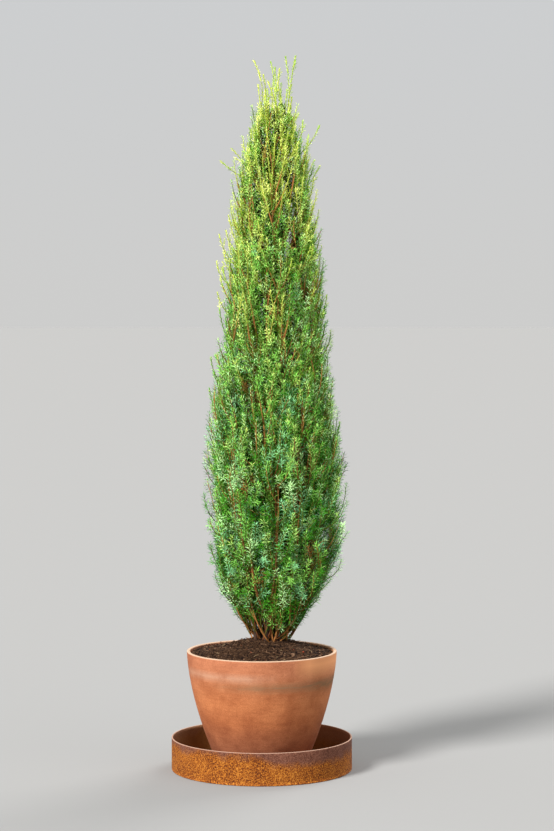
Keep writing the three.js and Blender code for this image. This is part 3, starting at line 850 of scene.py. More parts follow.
@dataclass
class Compost:
    """The compost: a lumpy mound, and the loose crumbs, bark chips and fibres that lie on it."""

    pot: Pot
    below_rim: float = 4.5
    heap: float = 7.0  # how much higher the crumbs are piled round the stems
    plateau: float = 36.0
    hollow: float = 1.3
    shift: float = 18.0
    lump: float = 2.6
    lump_waves: tuple[float, float, int] = (46.0, 5.0, 70)  # longest, shortest and how many
    ridge_waves: tuple[float, float, int] = (17.0, 4.0, 40)
    calm_edge: float = 6.0
    clear: float = 0.4  # between the compost and the pot's wall
    sides: int = 300
    rows: int = 96
    crumbs: int = 2600
    chips: int = 420
    fibres: int = 700
    fibre_radius: float = 0.42

    def __post_init__(self) -> None:
        """Takes the heights from the frame."""
        self.top = box_of("soil")[1][2]
        self.edge_z = self.pot.rim - self.below_rim
        self.edge = float(self.pot.inner_radius(np.array(self.edge_z)))

    def surface(self, radii: Array, turns: Array) -> Array:
        """Points of the compost's surface.

        The height falls from the level top by (1 - share)^hollow, where share runs from the plateau to the
        edge, and lumps are added by waves. The mound's middle is shifted towards the plant's foot.

        Args:
            radii: Distances from the pot's axis before the shift.
            turns: Directions in radians.

        Returns:
            Points, with one more dimension than radii.
        """
        share = np.clip((radii - self.plateau) / (self.edge - self.plateau), 0, 1)
        mound = (self.top + self.heap - self.edge_z) * (1 - share) ** self.hollow
        x = radii * np.cos(turns) + self.shift * (1 - radii / self.edge)
        y = radii * np.sin(turns)
        flat = np.stack([x, y], axis=-1)
        lumps = waves(flat, *self.lump_waves, SEED + 1) * self.lump
        ridge = np.abs(waves(flat, *self.ridge_waves, SEED + 2)) * self.lump * 0.8
        fade = np.clip((self.edge - radii) / self.calm_edge, 0.25, 1)
        return np.stack([x, y, self.edge_z + mound + (lumps - ridge) * fade - 0.8], axis=-1)

    def build(self) -> None:
        """Makes the body of the compost, and what lies on it."""
        turns = angles_round(self.sides)
        heights = np.linspace(self.pot.base + self.pot.floor + self.clear, self.edge_z - 4, 6)
        profile = np.stack([self.pot.inner_radius(heights) - self.clear, heights], axis=-1)
        radii = np.linspace(self.edge - self.clear, 0.5, self.rows)[:, None]
        mound = self.surface(radii + 0 * turns, turns + 0 * radii)
        rings = np.concatenate([turned(profile, self.sides)[0], mound])[None]
        dress(make_piece("compost", skin(rings), [POTTING_COMPOST.build()]), "soil", "soil")
        rng = np.random.default_rng(SEED + 3)
        (lumps, lump_kinds), (threads, thread_kinds) = self.loose_lumps(rng), self.loose_fibres(rng)
        kinds = np.concatenate([lump_kinds, thread_kinds])
        finishes = [
            PlainFinish(f"compost_bit_{bit.name.lower()}", bit.value, 0.85, 0.1, specular=0.12).build()
            for bit in CompostBit
        ]
        piece = make_piece("compost_bits", join([lumps, threads]), finishes, kinds, smooth=False)
        dress(piece, "soil", "soil")

    def spots(self, rng: np.random.Generator, count: int) -> Array:
        """Random places on the surface, spread evenly over its area."""
        radii = np.sqrt(rng.uniform(0, 1, count)) * (self.edge - 3)
        return self.surface(radii, rng.uniform(0, TURN, count))

    def loose_lumps(self, rng: np.random.Generator) -> tuple[Mesh, Array]:
        """Crumbs and chips: squashed, dented lumps of eight faces, and the kind of each face.

        Args:
            rng: Deals out their sizes, shapes, places and kinds.

        Returns:
            The mesh, and a CompostBit's number for each triangle.
        """
        corners = np.array([[1, 0, 0], [-1, 0, 0], [0, 1, 0], [0, -1, 0], [0, 0, 1], [0, 0, -1]], float)
        faces = np.array([
            [0, 2, 4], [2, 1, 4], [1, 3, 4], [3, 0, 4], [2, 0, 5], [1, 2, 5], [3, 1, 5], [0, 3, 5],
        ])
        count = self.crumbs + self.chips
        size = np.concatenate([rng.lognormal(0.55, 0.42, self.crumbs), rng.uniform(2.2, 5.5, self.chips)])
        shape = np.stack([np.ones(count), rng.uniform(0.6, 1, count), rng.uniform(0.45, 0.9, count)], axis=-1)
        shape[self.crumbs :] *= [1.5, 0.55, 0.28]
        local = corners * (shape * size[:, None])[:, None] * rng.uniform(0.75, 1.15, (count, 6, 1))
        yaw = rng.uniform(0, TURN, count)
        tilt = rng.normal(0, 0.35, count)
        along = around(np.cos(tilt), yaw, np.sin(tilt))
        across = quarter_turned(around(1, yaw, 0))
        axes = np.stack([along, across, np.cross(along, across)], axis=1)
        points = np.einsum("nkj,njc->nkc", local, axes) + (self.spots(rng, count) + [0, 0, 0.3])[:, None]
        kinds = Palette.deal(rng, count, dict(zip(CompostBit, (0.5, 0.39, 0.09, 0.008, 0.012))))
        triangles = (faces + 6 * np.arange(count)[:, None, None]).reshape(-1, 3)
        return (points.reshape(-1, 3), triangles), np.repeat(kinds, len(faces))

    def loose_fibres(self, rng: np.random.Generator) -> tuple[Mesh, Array]:
        """Fibres: thin, bent tubes that lie on the surface, and the kind of each face.

        Args:
            rng: Deals out their places, bends and kinds.

        Returns:
            The mesh, and a CompostBit's number for each triangle.
        """
        roots = self.spots(rng, self.fibres)
        turns = rng.uniform(0, TURN, self.fibres)
        run = rng.uniform(5, 16, self.fibres)[:, None]
        way = around(1, turns, rng.uniform(-0.15, 0.25, self.fibres)) * run
        bend = way / 2 + rng.normal(0, 1.6, (self.fibres, 3)) + [0, 0, 1.2]
        controls = np.stack([roots, roots + bend, roots + way], axis=1) + [0, 0, 0.8]
        shares = np.tile(np.linspace(0, 1, 4), (self.fibres, 1))
        radii = np.full(shares.shape, self.fibre_radius)
        rings = rings_along(*along_curves(controls, shares), radii, np.array([0.0, 0.0, 1.0]), 3)
        odds = {CompostBit.BROWN: 0.62, CompostBit.TAN: 0.35, CompostBit.STRAW: 0.03}
        kinds = Palette.deal(rng, self.fibres, odds)
        return skin(rings), np.repeat(kinds, tube_triangles(4, 3))


# The crown's measures


@dataclass(frozen=True)
class Face:
    """A conical face round the crown's axis, which parts one tier from the next."""

    height: float
    slope: float

    def at(self, radii: Array) -> Array:
        """Heights of the face at distances from the axis."""
        return np.minimum(self.height + self.slope * radii, Crown.height)


@dataclass(frozen=True)
class Crown:
    """The crown's axis and outline, which every limb and shoot is measured from."""

    height = 1357.0
    outline: tuple[tuple[float, float], ...] = (
        (0, 28), (28, 42), (58, 60), (97, 86), (136, 113), (185, 133), (245, 145), (320, 154), (395, 159),
        (486, 146), (540, 136), (585, 129), (660, 117), (733, 108), (807, 106), (882, 102), (956, 97),
        (1012, 87), (1086, 82), (1142, 72), (1165, 64), (1190, 54), (1216, 45), (1240, 38), (1357, 38),
    )
    foot_x: float = 18.0
    shift: tuple[float, float] = (12.0, 70.0)
    sway: tuple[float, float] = (5.0, 700.0)
    lobes: tuple[float, float] = (0.03, 0.025)
    bare_side: tuple[float, float] = (228.0, 64.0)  # where, and by how much, the foliage starts higher
    ridge_waves: tuple[float, float, int] = (80.0, 30.0, 30)  # longest, shortest and how many
    ridge_stretch: float = 4.5  # how many times longer they are upwards than round the crown
    ground: float = field(default_factory=lambda: float(box_of("soil")[1][2]))

    def axis(self, heights: Array) -> tuple[Array, Array]:
        """X and Y of the axis: it moves right near the ground, and swings to the back and the front.

        Args:
            heights: Heights above the ground.

        Returns:
            X and Y at each height.
        """
        across, within = self.shift
        swing, length = self.sway
        x = self.foot_x + across * (1 - np.exp(-np.maximum(heights, 0) / within))
        return x, swing * np.sin(np.pi * heights / length)

    def plain_reach(self, heights: Array) -> Array:
        """Reach of the foliage at heights, as the outline gives it."""
        return np.interp(heights, *np.array(self.outline).T)

    def reach(self, heights: Array, angles: Array) -> Array:
        """Reach of the foliage: the outline at a height, swollen in two lobes and in three.

        Args:
            heights: Heights above the ground.
            angles: Directions from the axis.

        Returns:
            Distances from the axis.
        """
        inside = np.clip(heights, 1, self.height)
        two, three = self.lobes
        swelling = 1 + two * np.sin(2 * angles + inside / 90) + three * np.sin(3 * angles - inside / 70)
        return self.plain_reach(inside) * swelling

    def relief(self, angles: Array, heights: Array) -> Array:
        """Upright ridges and grooves in the foliage: waves round it, drawn out upwards, from -1 to 1."""
        wrapped = around(float(self.plain_reach(500)), angles, heights / self.ridge_stretch)
        return waves(wrapped, *self.ridge_waves, SEED + 4)

    def lifted_foot(self, angles: Array) -> Array:
        """How much higher the foliage starts than its lowest face, to show the stems on one side."""
        side, height = self.bare_side
        return height * np.clip(np.cos(angles - np.radians(side)), 0, 1) ** 0.7

    def bare_height(self, points: Array) -> Array:
        """Heights above the part's underside up to which shoots that end at given points have no needles."""
        radii, angles, _ = self.places(points)
        return self.ground + 4 + 0.15 * radii + self.lifted_foot(angles)

    def points(self, radii: Array, angles: Array, heights: Array) -> Array:
        """Points at distances and directions from the axis.

        Args:
            radii: Distances from the axis.
            angles: Directions from it.
            heights: Heights above the ground.

        Returns:
            Points in the part's frame.
        """
        radii, angles, heights = np.broadcast_arrays(radii, angles, heights)
        x, y = self.axis(heights)
        return around(radii, angles, self.ground) + np.stack([x, y, heights], axis=-1)

    def places(self, points: Array) -> tuple[Array, Array, Array]:
        """Distances, directions and heights of points, as points takes them.

        Args:
            points: Points in the part's frame.

        Returns:
            The three, each without the points' last dimension.
        """
        heights = points[..., 2] - self.ground
        x, y = self.axis(heights)
        across, back = points[..., 0] - x, points[..., 1] - y
        return np.hypot(across, back), np.arctan2(back, across), heights

    def outer_heights(self, face: Face, angles: Array) -> Array:
        """Heights at which a face comes out of the outline, found by steps towards them.

        Args:
            face: The face.
            angles: Directions from the axis.

        Returns:
            One height for each direction.
        """
        heights = np.full_like(angles, face.height)
        for _ in range(12):
            heights = mix(heights, face.at(self.reach(heights, angles)), 0.6)
        return heights

    def keep_within(self, points: Array, beyond: float) -> Array:
        """Moves points that lie further beyond the outline in to it, and those below the ground up to it.

        Args:
            points: Points in the part's frame.
            beyond: How far beyond the outline they may lie.

        Returns:
            The points, moved.
        """
        radii, angles, heights = self.places(points)
        heights = np.clip(heights, 7, self.height)
        return self.points(np.minimum(radii, self.reach(heights, angles) + beyond), angles, heights)


@dataclass(frozen=True)
class Tier:
    """One of the crown's four tiers of masses, and how its shoots look.

    foot_stems are thin stems that come out of the ground, leaders the upright shoots that leave a mass's
    stem, shoots the ones that leave the leaders near the outline, and long_shoots those that stand out of
    it by up to stand_out and are bare over the share stem_bare of their length. Both lean outward by the
    slope outward. inner_shoots lie behind them, and heart_shoots are the ones round the stem, tinted dark
    as painted shade.
    A shoot's needles lean by lean degrees, and by the share closing less at its tip.
    """

    name: str
    masses: int
    turn: float
    top: float
    slope: float
    shaft: float
    bough: float
    fork: float | None  # where the boughs leave the trunk: at 0 they come out of the ground, None has none
    lift: float
    foot_stems: int
    leaders: int
    shoots: int
    long_shoots: int
    inner_shoots: int
    heart_shoots: int
    stand_out: float
    stem_bare: float
    outward: float
    needle: float
    lean: float
    closing: float
    spacing: float
    width: float

    def habits(self) -> dict[str, float]:
        """What all the tier's shoots have in common.

        Returns:
            Values by the names that Shoots has for them.
        """
        return {
            "needles": self.needle, "widths": self.width, "leans": self.lean, "closings": self.closing,
            "spacings": self.spacing,
        }


TIER_SIZES = {
    "name": ("lower", "middle", "upper", "top"),
    "masses": (6, 5, 4, 3),
    "turn": (195, 175, 190, 165),
    "top": (235, 530, 810, 1250),
    "slope": (1.2, 1.2, 1.2, 0),
    "shaft": (37, 26, 15, 8),
    "bough": (5, 6, 4.5, 4),
    "fork": (0, 150, 430, None),
    "lift": (28, 6, 6, -8),
    "foot_stems": (11, 0, 0, 0),
    "leaders": (18, 17, 15, 14),
    "shoots": (212, 184, 176, 205),
    "long_shoots": (44, 58, 60, 54),
    "inner_shoots": (55, 46, 42, 50),
    "heart_shoots": (58, 50, 46, 48),
    "stand_out": (12, 14, 18, 18),
    "stem_bare": (0.15, 0.36, 0.42, 0.42),
    "outward": (0.24, 0.18, 0.13, 0.11),
    "needle": (14.5, 13.5, 12.0, 10.8),
    "lean": (68, 66, 64, 61),
    "closing": (0.3, 0.35, 0.35, 0.35),
    "spacing": (6.0, 6.0, 6.1, 6.0),
    "width": (1.4, 1.4, 1.5, 1.5),
}
TIERS = tuple(Tier(**dict(zip(TIER_SIZES, column))) for column in zip(*TIER_SIZES.values()))
CROWN_FOOT = Face(10, 0.45)

# Shoots that reach far out of the crown: height, distance and direction of the tip from the axis, and how
# far it slopes to the right for each millimetre that it climbs.
REACHING_SHOOTS = (
    (1347, 48.6, 170, -0.5), (1314, 33, 142, -0.25), (1296, 24, 233, -0.35), (1345, 22, 115, -0.34),
    (1326, 20, 305, 0.18), (1356, 29, 30, -0.2), (1355, 49, 348, 0.19), (1330, 4, 80, 0.0),
    (1207, 66, 350, 0.0), (1196, 103, 2, 0.39), (1116, 92, 352, 0.5), (1104, 104, 0, 0.5),
    (1191, 58, 176, -0.57), (1153, 62, 186, -0.5), (1144, 99, 176, -1.1), (1115, 124, 180, -1.2),
    (1059, 85, 184, -0.27), (989, 106, 178, -0.15), (945, 128, 184, -0.2), (883, 134, 178, -0.1),
    (661, 148, 182, -0.1), (587, 153, 174, -0.15), (1030, 86, 186, -0.2), (1010, 98, 176, -0.2),
    (967, 86, 190, -0.1), (955, 114, 172, -0.2), (925, 106, 186, -0.15), (905, 118, 178, -0.2),
    (870, 120, 185, -0.1), (845, 126, 175, -0.15), (811, 132, 178, -0.15), (775, 128, 184, -0.1),
    (805, 121, 2, 0.1), (967, 91, 5, 0.1), (869, 98, 0, 0.1), (510, 152, 3, 0.15),
    (1290, 38, 186, -0.1), (1278, 18, 200, -0.15), (1278, 30, 345, 0.1), (1262, 40, 10, 0.1),
    (1283, 12, 90, 0.0), (1270, 28, 140, -0.1), (1296, 30, 60, 0.05), (1262, 38, 230, -0.1),
    (1284, 22, 280, 0.05), (1272, 36, 100, 0.0),
)


# Shoots and needles


class Light(Enum):
    """How much light a shoot gets, which its tint follows: less light gives a darker tint, as painted shade.
    """

    OPEN = "near the outline"
    SHADED = "behind the outer shoots"
    DARK = "round the stem"


@dataclass(frozen=True)
class Group:
    """A group of shoots in a mass: where their tips lie, where these point, and how long the shoots are.

    The tips lie between the shares deep and shallow of the reach. phase tells one group's tips from
    another's, and the lowest ones lie dip millimetres below the space's underside. The relief's ridges
    stand out by the share ridge of the reach, and the shallowest tips by beyond millimetres more. At its
    tip a shoot leans outward by the slope outward, with a scatter of spread. Few shoots of a thinned group
    grow in the relief's grooves. vigour is the share of the tints, from the dead one up, that a group
    leaves out, and bare the share of a shoot that has no needles, where that is more than usual.
    """

    count: int
    phase: float
    dip: float
    deep: float
    shallow: float
    outward: float = 0.08
    spread: float = 0.05
    lengths: tuple[float, float] = (0.0, 0.0)
    stretch: float = 1.0
    ridge: float = 0.0
    beyond: float = 0.0
    thinned: bool = False
    light: Light = Light.OPEN
    bare: float = 0.0
    vigour: float = 0.0
    habits: dict[str, float] = field(default_factory=dict)


@dataclass
class Shoots:
    """Many shoots at once, with one row of every array for each."""

    controls: Array
    foot_radii: Array
    tip_radii: Array
    bare: Array  # share of the length, from the foot, that has no needles
    tints: Array
    needles: Array
    widths: Array
    leans: Array
    closings: Array
    spacings: Array
    crowding: Array  # 1 where the whorls are even, and more where they crowd towards the tip

    def __len__(self) -> int:
        """How many shoots there are."""
        return len(self.controls)

    @staticmethod
    def grown(roots: Array, bends: Array, tips: Array, **habits: Array | float) -> "Shoots":
        """Shoots along given curves, with each habit given once for all of them or for each one."""
        spread = {name: np.broadcast_to(value, len(tips)).copy() for name, value in habits.items()}
        return Shoots(np.stack([roots, bends, tips], axis=1), **spread)

    def young(self) -> Array:
        """Whether each shoot has one of the two youngest tints."""
        return self.tints >= Tint.YELLOW.number

    @staticmethod
    def together(groups: Sequence["Shoots"]) -> "Shoots":
        """Several groups of shoots as one."""
        names = Shoots.__dataclass_fields__
        return Shoots(*(np.concatenate([getattr(group, name) for group in groups]) for name in names))

    def tubes(self, rows: int, sides: int) -> Mesh:
        """A tube along every shoot, from its foot radius to its tip radius.

        Args:
            rows: Rings of a tube.
            sides: Points of a ring.

        Returns:
            One mesh for all of them.
        """
        shares = np.tile(np.linspace(0, 0.97, rows), (len(self), 1))
        radii = mix(self.foot_radii[:, None], self.tip_radii[:, None], shares)
        return skin(rings_along(*along_curves(self.controls, shares), radii, self.levels()[:, None], sides))

    def levels(self) -> Array:
        """A level vector square to the way each shoot runs."""
        return unit(quarter_turned(self.controls[:, 2] - self.controls[:, 0]) + [1e-4, 0, 0])


@dataclass
class NeedleSet:
    """Makes the needles of many shoots: whorls of three, each turned by a sixth against the last."""

    rng: np.random.Generator
    keel: float = 0.04  # shares of a needle's length
    broadest: float = 0.42
    scatter: float = 0.23  # radians
    turn_scatter: float = 0.2
    sizes: tuple[float, float] = (0.78, 1.12)
    shrink: float = 0.25  # how much shorter the needles at the tip are
    last_whorl: float = 0.985
    younger: float = 0.25  # how many of the outer whorls have the next younger tint
    outer_part: float = 0.7

    def build(self, shoots: Shoots) -> tuple[Mesh, Array]:
        """Works out every needle as a keeled blade of four points.

        A needle leaves the shoot at its foot B and leans from the shoot's direction by its lean. Its tip is
        T, and its broadest points L and R lie near the middle, to either side and a little above the line
        from B to T, so that the two faces above look up the shoot and the two below look down. The whorls'
        places along the shoot are 1 - (1 - order)^crowding, where order runs from 0 to 1.

        Args:
            shoots: The shoots that carry them.

        Returns:
            The mesh, and the slot of each triangle: twice the tint, plus one for an underside.
        """
        lengths = curve_lengths(shoots.controls) * (1 - shoots.bare)
        counts = np.maximum(2, np.round(lengths / shoots.spacings)).astype(int)
        owner = np.repeat(np.arange(len(shoots)), counts)
        order = np.arange(counts.sum()) - np.repeat(np.cumsum(counts) - counts, counts)
        age = (order + 0.5) / counts[owner]
        shares = mix(shoots.bare[owner], self.last_whorl, 1 - (1 - age) ** shoots.crowding[owner])
        centres, ways = (rows[:, 0] for rows in along_curves(shoots.controls[owner], shares[:, None]))
        first, second = side_directions(ways, shoots.levels()[owner])
        start = fraction(np.arange(len(shoots)) * GOLDEN)[owner] * TURN
        turns = (start + order * np.pi / 3)[:, None] + angles_round(3)
        turns = turns + self.rng.normal(0, self.turn_scatter, turns.shape)
        radial = spokes(first[:, None], second[:, None], turns)
        lean = np.radians(shoots.leans[owner] * (1 - shoots.closings[owner] * age**2))[:, None]
        lean = (lean + self.rng.normal(0, self.scatter, turns.shape))[..., None]
        along = ways[:, None] * np.cos(lean) + radial * np.sin(lean)
        above = ways[:, None] * np.sin(lean) - radial * np.cos(lean)
        side = np.cross(ways[:, None], radial)
        size = (shoots.needles[owner] * (1 - self.shrink * age**3))[:, None]
        size = (size * self.rng.uniform(*self.sizes, turns.shape))[..., None]
        twig = mix(shoots.foot_radii[owner], shoots.tip_radii[owner], shares)[:, None, None]
        foot = centres[:, None] + radial * twig * 0.5
        middle = foot + along * size * self.broadest + above * size * self.keel
        spread = side * shoots.widths[owner][:, None, None] / 2
        corners = [foot, foot + along * size, middle + spread, middle - spread]
        points = np.stack(corners, axis=2).reshape(-1, 4, 3)
        faces = np.array([[0, 3, 2], [1, 2, 3], [0, 2, 1], [0, 1, 3]])
        triangles = (faces + 4 * np.arange(len(points))[:, None, None]).reshape(-1, 3)
        younger = (age > self.outer_part) & (self.rng.uniform(size=len(age)) < self.younger)
        younger = younger & (shoots.tints[owner] > Tint.DEEP.number)
        tints = np.minimum(shoots.tints[owner] + younger, Tint.GOLD.number)
        slots = (np.repeat(tints, 3)[:, None] * 2 + [0, 0, 1, 1]).ravel()
        return (points.reshape(-1, 3), triangles), slots


@dataclass(frozen=True)
class TintRule:
    """Deals out colours to sprays: how often each tint occurs at a height, outside and inside the crown.

    The darker tints, more common inside the crown and near the ground, are painted shade.
    """

    heights: tuple[float, ...] = (0, 100, 300, 500, 750, 1000, 1200, 1360)
    outer: tuple[tuple[float, ...], ...] = (
        (0.14, 0.32, 0.32, 0.08, 0.04, 0.08, 0.02, 0.00, 0.00),
        (0.05, 0.23, 0.33, 0.12, 0.09, 0.15, 0.03, 0.00, 0.00),
        (0.02, 0.16, 0.31, 0.14, 0.13, 0.19, 0.05, 0.00, 0.00),
        (0.02, 0.10, 0.23, 0.12, 0.17, 0.25, 0.11, 0.00, 0.00),
        (0.02, 0.04, 0.12, 0.08, 0.20, 0.29, 0.21, 0.04, 0.00),
        (0.01, 0.03, 0.06, 0.02, 0.10, 0.20, 0.30, 0.21, 0.07),
        (0.01, 0.01, 0.03, 0.01, 0.04, 0.09, 0.21, 0.35, 0.25),
        (0.00, 0.00, 0.00, 0.00, 0.02, 0.04, 0.14, 0.36, 0.44),
    )
    inner: tuple[tuple[float, ...], ...] = (
        (0.04, 0.60, 0.31, 0.01, 0.01, 0.03, 0.00, 0.00, 0.00),
        (0.04, 0.17, 0.34, 0.02, 0.09, 0.18, 0.12, 0.04, 0.00),
    )

    def pick(self, light: Light, heights: Array, draws: Array) -> Array:
        """Tints of sprays at heights, from draws between 0 and 1. Round the stem, in the least light, they
        are dead or take the painted-shade tint.

        Args:
            light: How much light the sprays get.
            heights: Their heights above the ground.
            draws: One draw for each.

        Returns:
            A Tint's number for each spray.
        """
        if light is Light.OPEN:
            table = np.cumsum(np.array(self.outer), axis=1)
            limits = np.stack([np.interp(heights, self.heights, column) for column in table.T], axis=-1)
        else:
            low, high = np.cumsum(np.array(self.inner), axis=1)
            lit = heights if light is Light.SHADED else np.zeros_like(heights)
            limits = mix(low, high, np.clip(lit / self.heights[-1], 0, 1)[:, None] ** 1.5)
        lightest = Tint.PAINTED_SHADE if light is Light.DARK else Tint.GOLD
        return np.minimum((draws[:, None] > limits).sum(axis=1), lightest.number)


@dataclass
class Mass:
    """One mass of foliage: its stem, its leaders, and the shoots that fill its part of the outline."""

    crown: Crown
    tier: Tier
    index: int
    number: int
    low_face: Face
    high_face: Face
    rule: TintRule = TintRule()
    steepness: float = 2.8
    stem_reach: float = 0.4
    stem_taper: tuple[float, float] = (0.72, 0.35)  # shares of the bough's radius at the foot and the head
    stem_mesh: tuple[int, int] = (18, 9)  # rows and sides
    leader_mesh: tuple[int, int] = (10, 5)
    foot_dip: float = 30.0  # how far the lowest shoots lie below the underside of a mass at the ground
    dip: float = 12.0  # and of one higher up
    ridge: float = 0.11  # share of the reach
    groove: float = -0.32  # the relief below which few shoots grow
    left_in_grooves: float = 0.3  # how many of them do
    groove_search: float = 0.26  # radians
    overlap: float = 1.07  # neighbouring masses mingle a little
    alike: float = 0.14  # how many shoots share the tint of their leader

    def __post_init__(self) -> None:
        """Works out the mass's sector, its name and its sources of random numbers."""
        self.angle = np.radians(self.tier.turn + self.index * 360 / self.tier.masses)
        self.half = np.pi / self.tier.masses
        self.name = f"{self.tier.name}_{self.index + 1}"
        self.rng = np.random.default_rng(SEED * 100 + self.number)
        self.seed = self.number / np.e

    def stem_foot(self) -> tuple[float, float]:
        """Distance from the axis and height of the bough's tip, where the mass's stem starts."""
        radius = self.tier.shaft + 8.0
        return radius, float(self.low_face.at(radius)) + self.tier.lift

    def stem(self) -> Array:
        """Control points of the stem, which climbs through the mass from its bough's tip.

        Returns:
            Three points, shape (3, 3).
        """
        radius, height = self.stem_foot()
        head = float(self.high_face.at(radius)) - 12
        reach = float(self.crown.reach(head, self.angle)) * self.stem_reach
        start = 0.0 if self.tier.fork is None else radius
        return np.stack([
            self.crown.points(start, self.angle, height + LIFT),
            self.crown.points(mix(radius, reach, 0.7), self.angle, mix(height, head, 0.4)),
            self.crown.points(max(radius, reach), self.angle, head),
        ])

    def stem_tube(self) -> Mesh:
        """The stem itself.

        Returns:
            The mesh.
        """
        rows, sides = self.stem_mesh
        shares = np.linspace(0, 1, rows)[None]
        foot, head = self.stem_taper
        radii = mix(self.tier.bough * foot, self.tier.bough * head, shares)
        level = quarter_turned(around(1, self.angle, 0))
        return skin(rings_along(*along_curves(self.stem()[None], shares), radii, level, sides))

    def tips(self, group: Group) -> Array:
        """Shoots' tips, spread evenly over the mass's part of the outline and over a range of depths.

        The heights share out the area evenly, and the directions and depths step by two golden shares.

        Args:
            group: The shoots.

        Returns:
            Points, shape (count, 3).
        """
        order = np.arange(group.count)
        across = 2 * fraction(self.seed + group.phase + order * GOLDEN) - 1
        angles = self.angle + self.half * self.overlap * across
        low = self.crown.outer_heights(self.low_face, angles) - group.dip
        if self.low_face is CROWN_FOOT:
            low = low + self.crown.lifted_foot(angles)
        high = self.crown.outer_heights(self.high_face, angles)
        steps = np.linspace(0, 1, 24)
        area = np.cumsum(self.crown.reach(mix(low.mean(), high.mean(), steps), self.angle) + 20)
        climb = np.interp((order + 0.5) / group.count, (area - area[0]) / (area[-1] - area[0]), steps)
        heights = mix(low, high, climb)
        shares = fraction(self.seed * 3 + group.phase + order * PLASTIC)
        depths = mix(group.deep, group.shallow, shares) + group.ridge * self.crown.relief(angles, heights)
        reach = self.crown.reach(heights, angles) * depths + group.beyond * shares
        return self.crown.points(reach, angles, heights)

    def in_grooves(self, tips: Array) -> Array:
        """Moves each tip a short way round the crown, to where the relief is deepest.

        Args:
            tips: The tips.

        Returns:
            The tips, moved.
        """
        radii, angles, heights = self.crown.places(tips)
        turns = angles[:, None] + np.linspace(-self.groove_search, self.groove_search, 11)
        deepest = self.crown.relief(turns, heights[:, None]).argmin(axis=1)
        return self.crown.points(radii, turns[np.arange(len(tips)), deepest], heights)

    def thinned(self, tips: Array) -> Array:
        """Leaves out most of the tips in the grooves of the relief, where the branches show.

        Args:
            tips: The tips.

        Returns:
            Those that stay.
        """
        _, angles, heights = self.crown.places(tips)
        keep = self.crown.relief(angles, heights) > self.groove
        return tips[keep | (self.rng.uniform(size=len(tips)) < self.left_in_grooves)]

    def tip_ways(self, tips: Array, group: Group) -> Array:
        """Directions of shoots at their tips: upright, leaning outward, and spread at random about that.

        Args:
            tips: The tips.
            group: The shoots' outward lean and its spread.

        Returns:
            Unit vectors.
        """
        _, angles, _ = self.crown.places(tips)
        out = self.rng.normal(group.outward, group.spread, len(tips))[:, None]
        aside = self.rng.normal(0, group.spread, len(tips))[:, None]
        radial = around(1, angles, 0)
        return unit(radial * out + quarter_turned(radial) * aside + [0, 0, 1])

    def leaders(self) -> Shoots:
        """The leaders: each leaves the stem low enough to climb steeply, and runs upright under the outline.

        In the lowest tier, thin stems that come out of the ground round the trunk follow them.

        Returns:
            The leaders, with the thin stems last.
        """
        tier = self.tier
        group = Group(tier.leaders, phase=0.0, dip=8, deep=0.76, shallow=0.9)
        tips = self.in_grooves(self.tips(group))
        tip_radii, _, tip_heights = self.crown.places(tips)
        spine = along_curves(self.stem()[None], np.linspace(0.04, 0.96, 40)[None])[0][0]
        radii, _, heights = self.crown.places(spine)
        low_enough = heights < tip_heights[:, None] - self.steepness * (tip_radii[:, None] - radii)
        last = np.where(low_enough.any(axis=1), len(spine) - 1 - low_enough[:, ::-1].argmax(axis=1), 0)
        roots = spine[last]
        if tier.foot_stems:
            stems = Group(3 * tier.foot_stems, phase=0.4, dip=26, deep=0.5, shallow=0.84)
            turns = self.angle + self.half * self.rng.uniform(-0.95, 0.95, tier.foot_stems)
            feet = self.crown.points(self.rng.uniform(14, 46, tier.foot_stems), turns, LIFT)
            roots = np.concatenate([roots, feet])
            tips = np.concatenate([tips, self.tips(stems)[: tier.foot_stems]])
        run = np.linalg.norm(tips - roots, axis=-1)
        thick = np.where(np.arange(len(tips)) < tier.leaders, 1.0, 0.62)
        bends = tips - self.tip_ways(tips, group) * (0.62 * run)[:, None]
        heights = tips[:, 2] - self.crown.ground
        habits = {
            **tier.habits(), "foot_radii": (1.8 + run / 130) * thick, "tip_radii": 1.0, "bare": 0.72,
            "leans": 0.95 * tier.lean, "crowding": 1.4,
            "tints": self.rule.pick(Light.OPEN, heights, self.rng.uniform(size=len(tips))),
        }
        return Shoots.grown(roots, bends, tips, **habits)

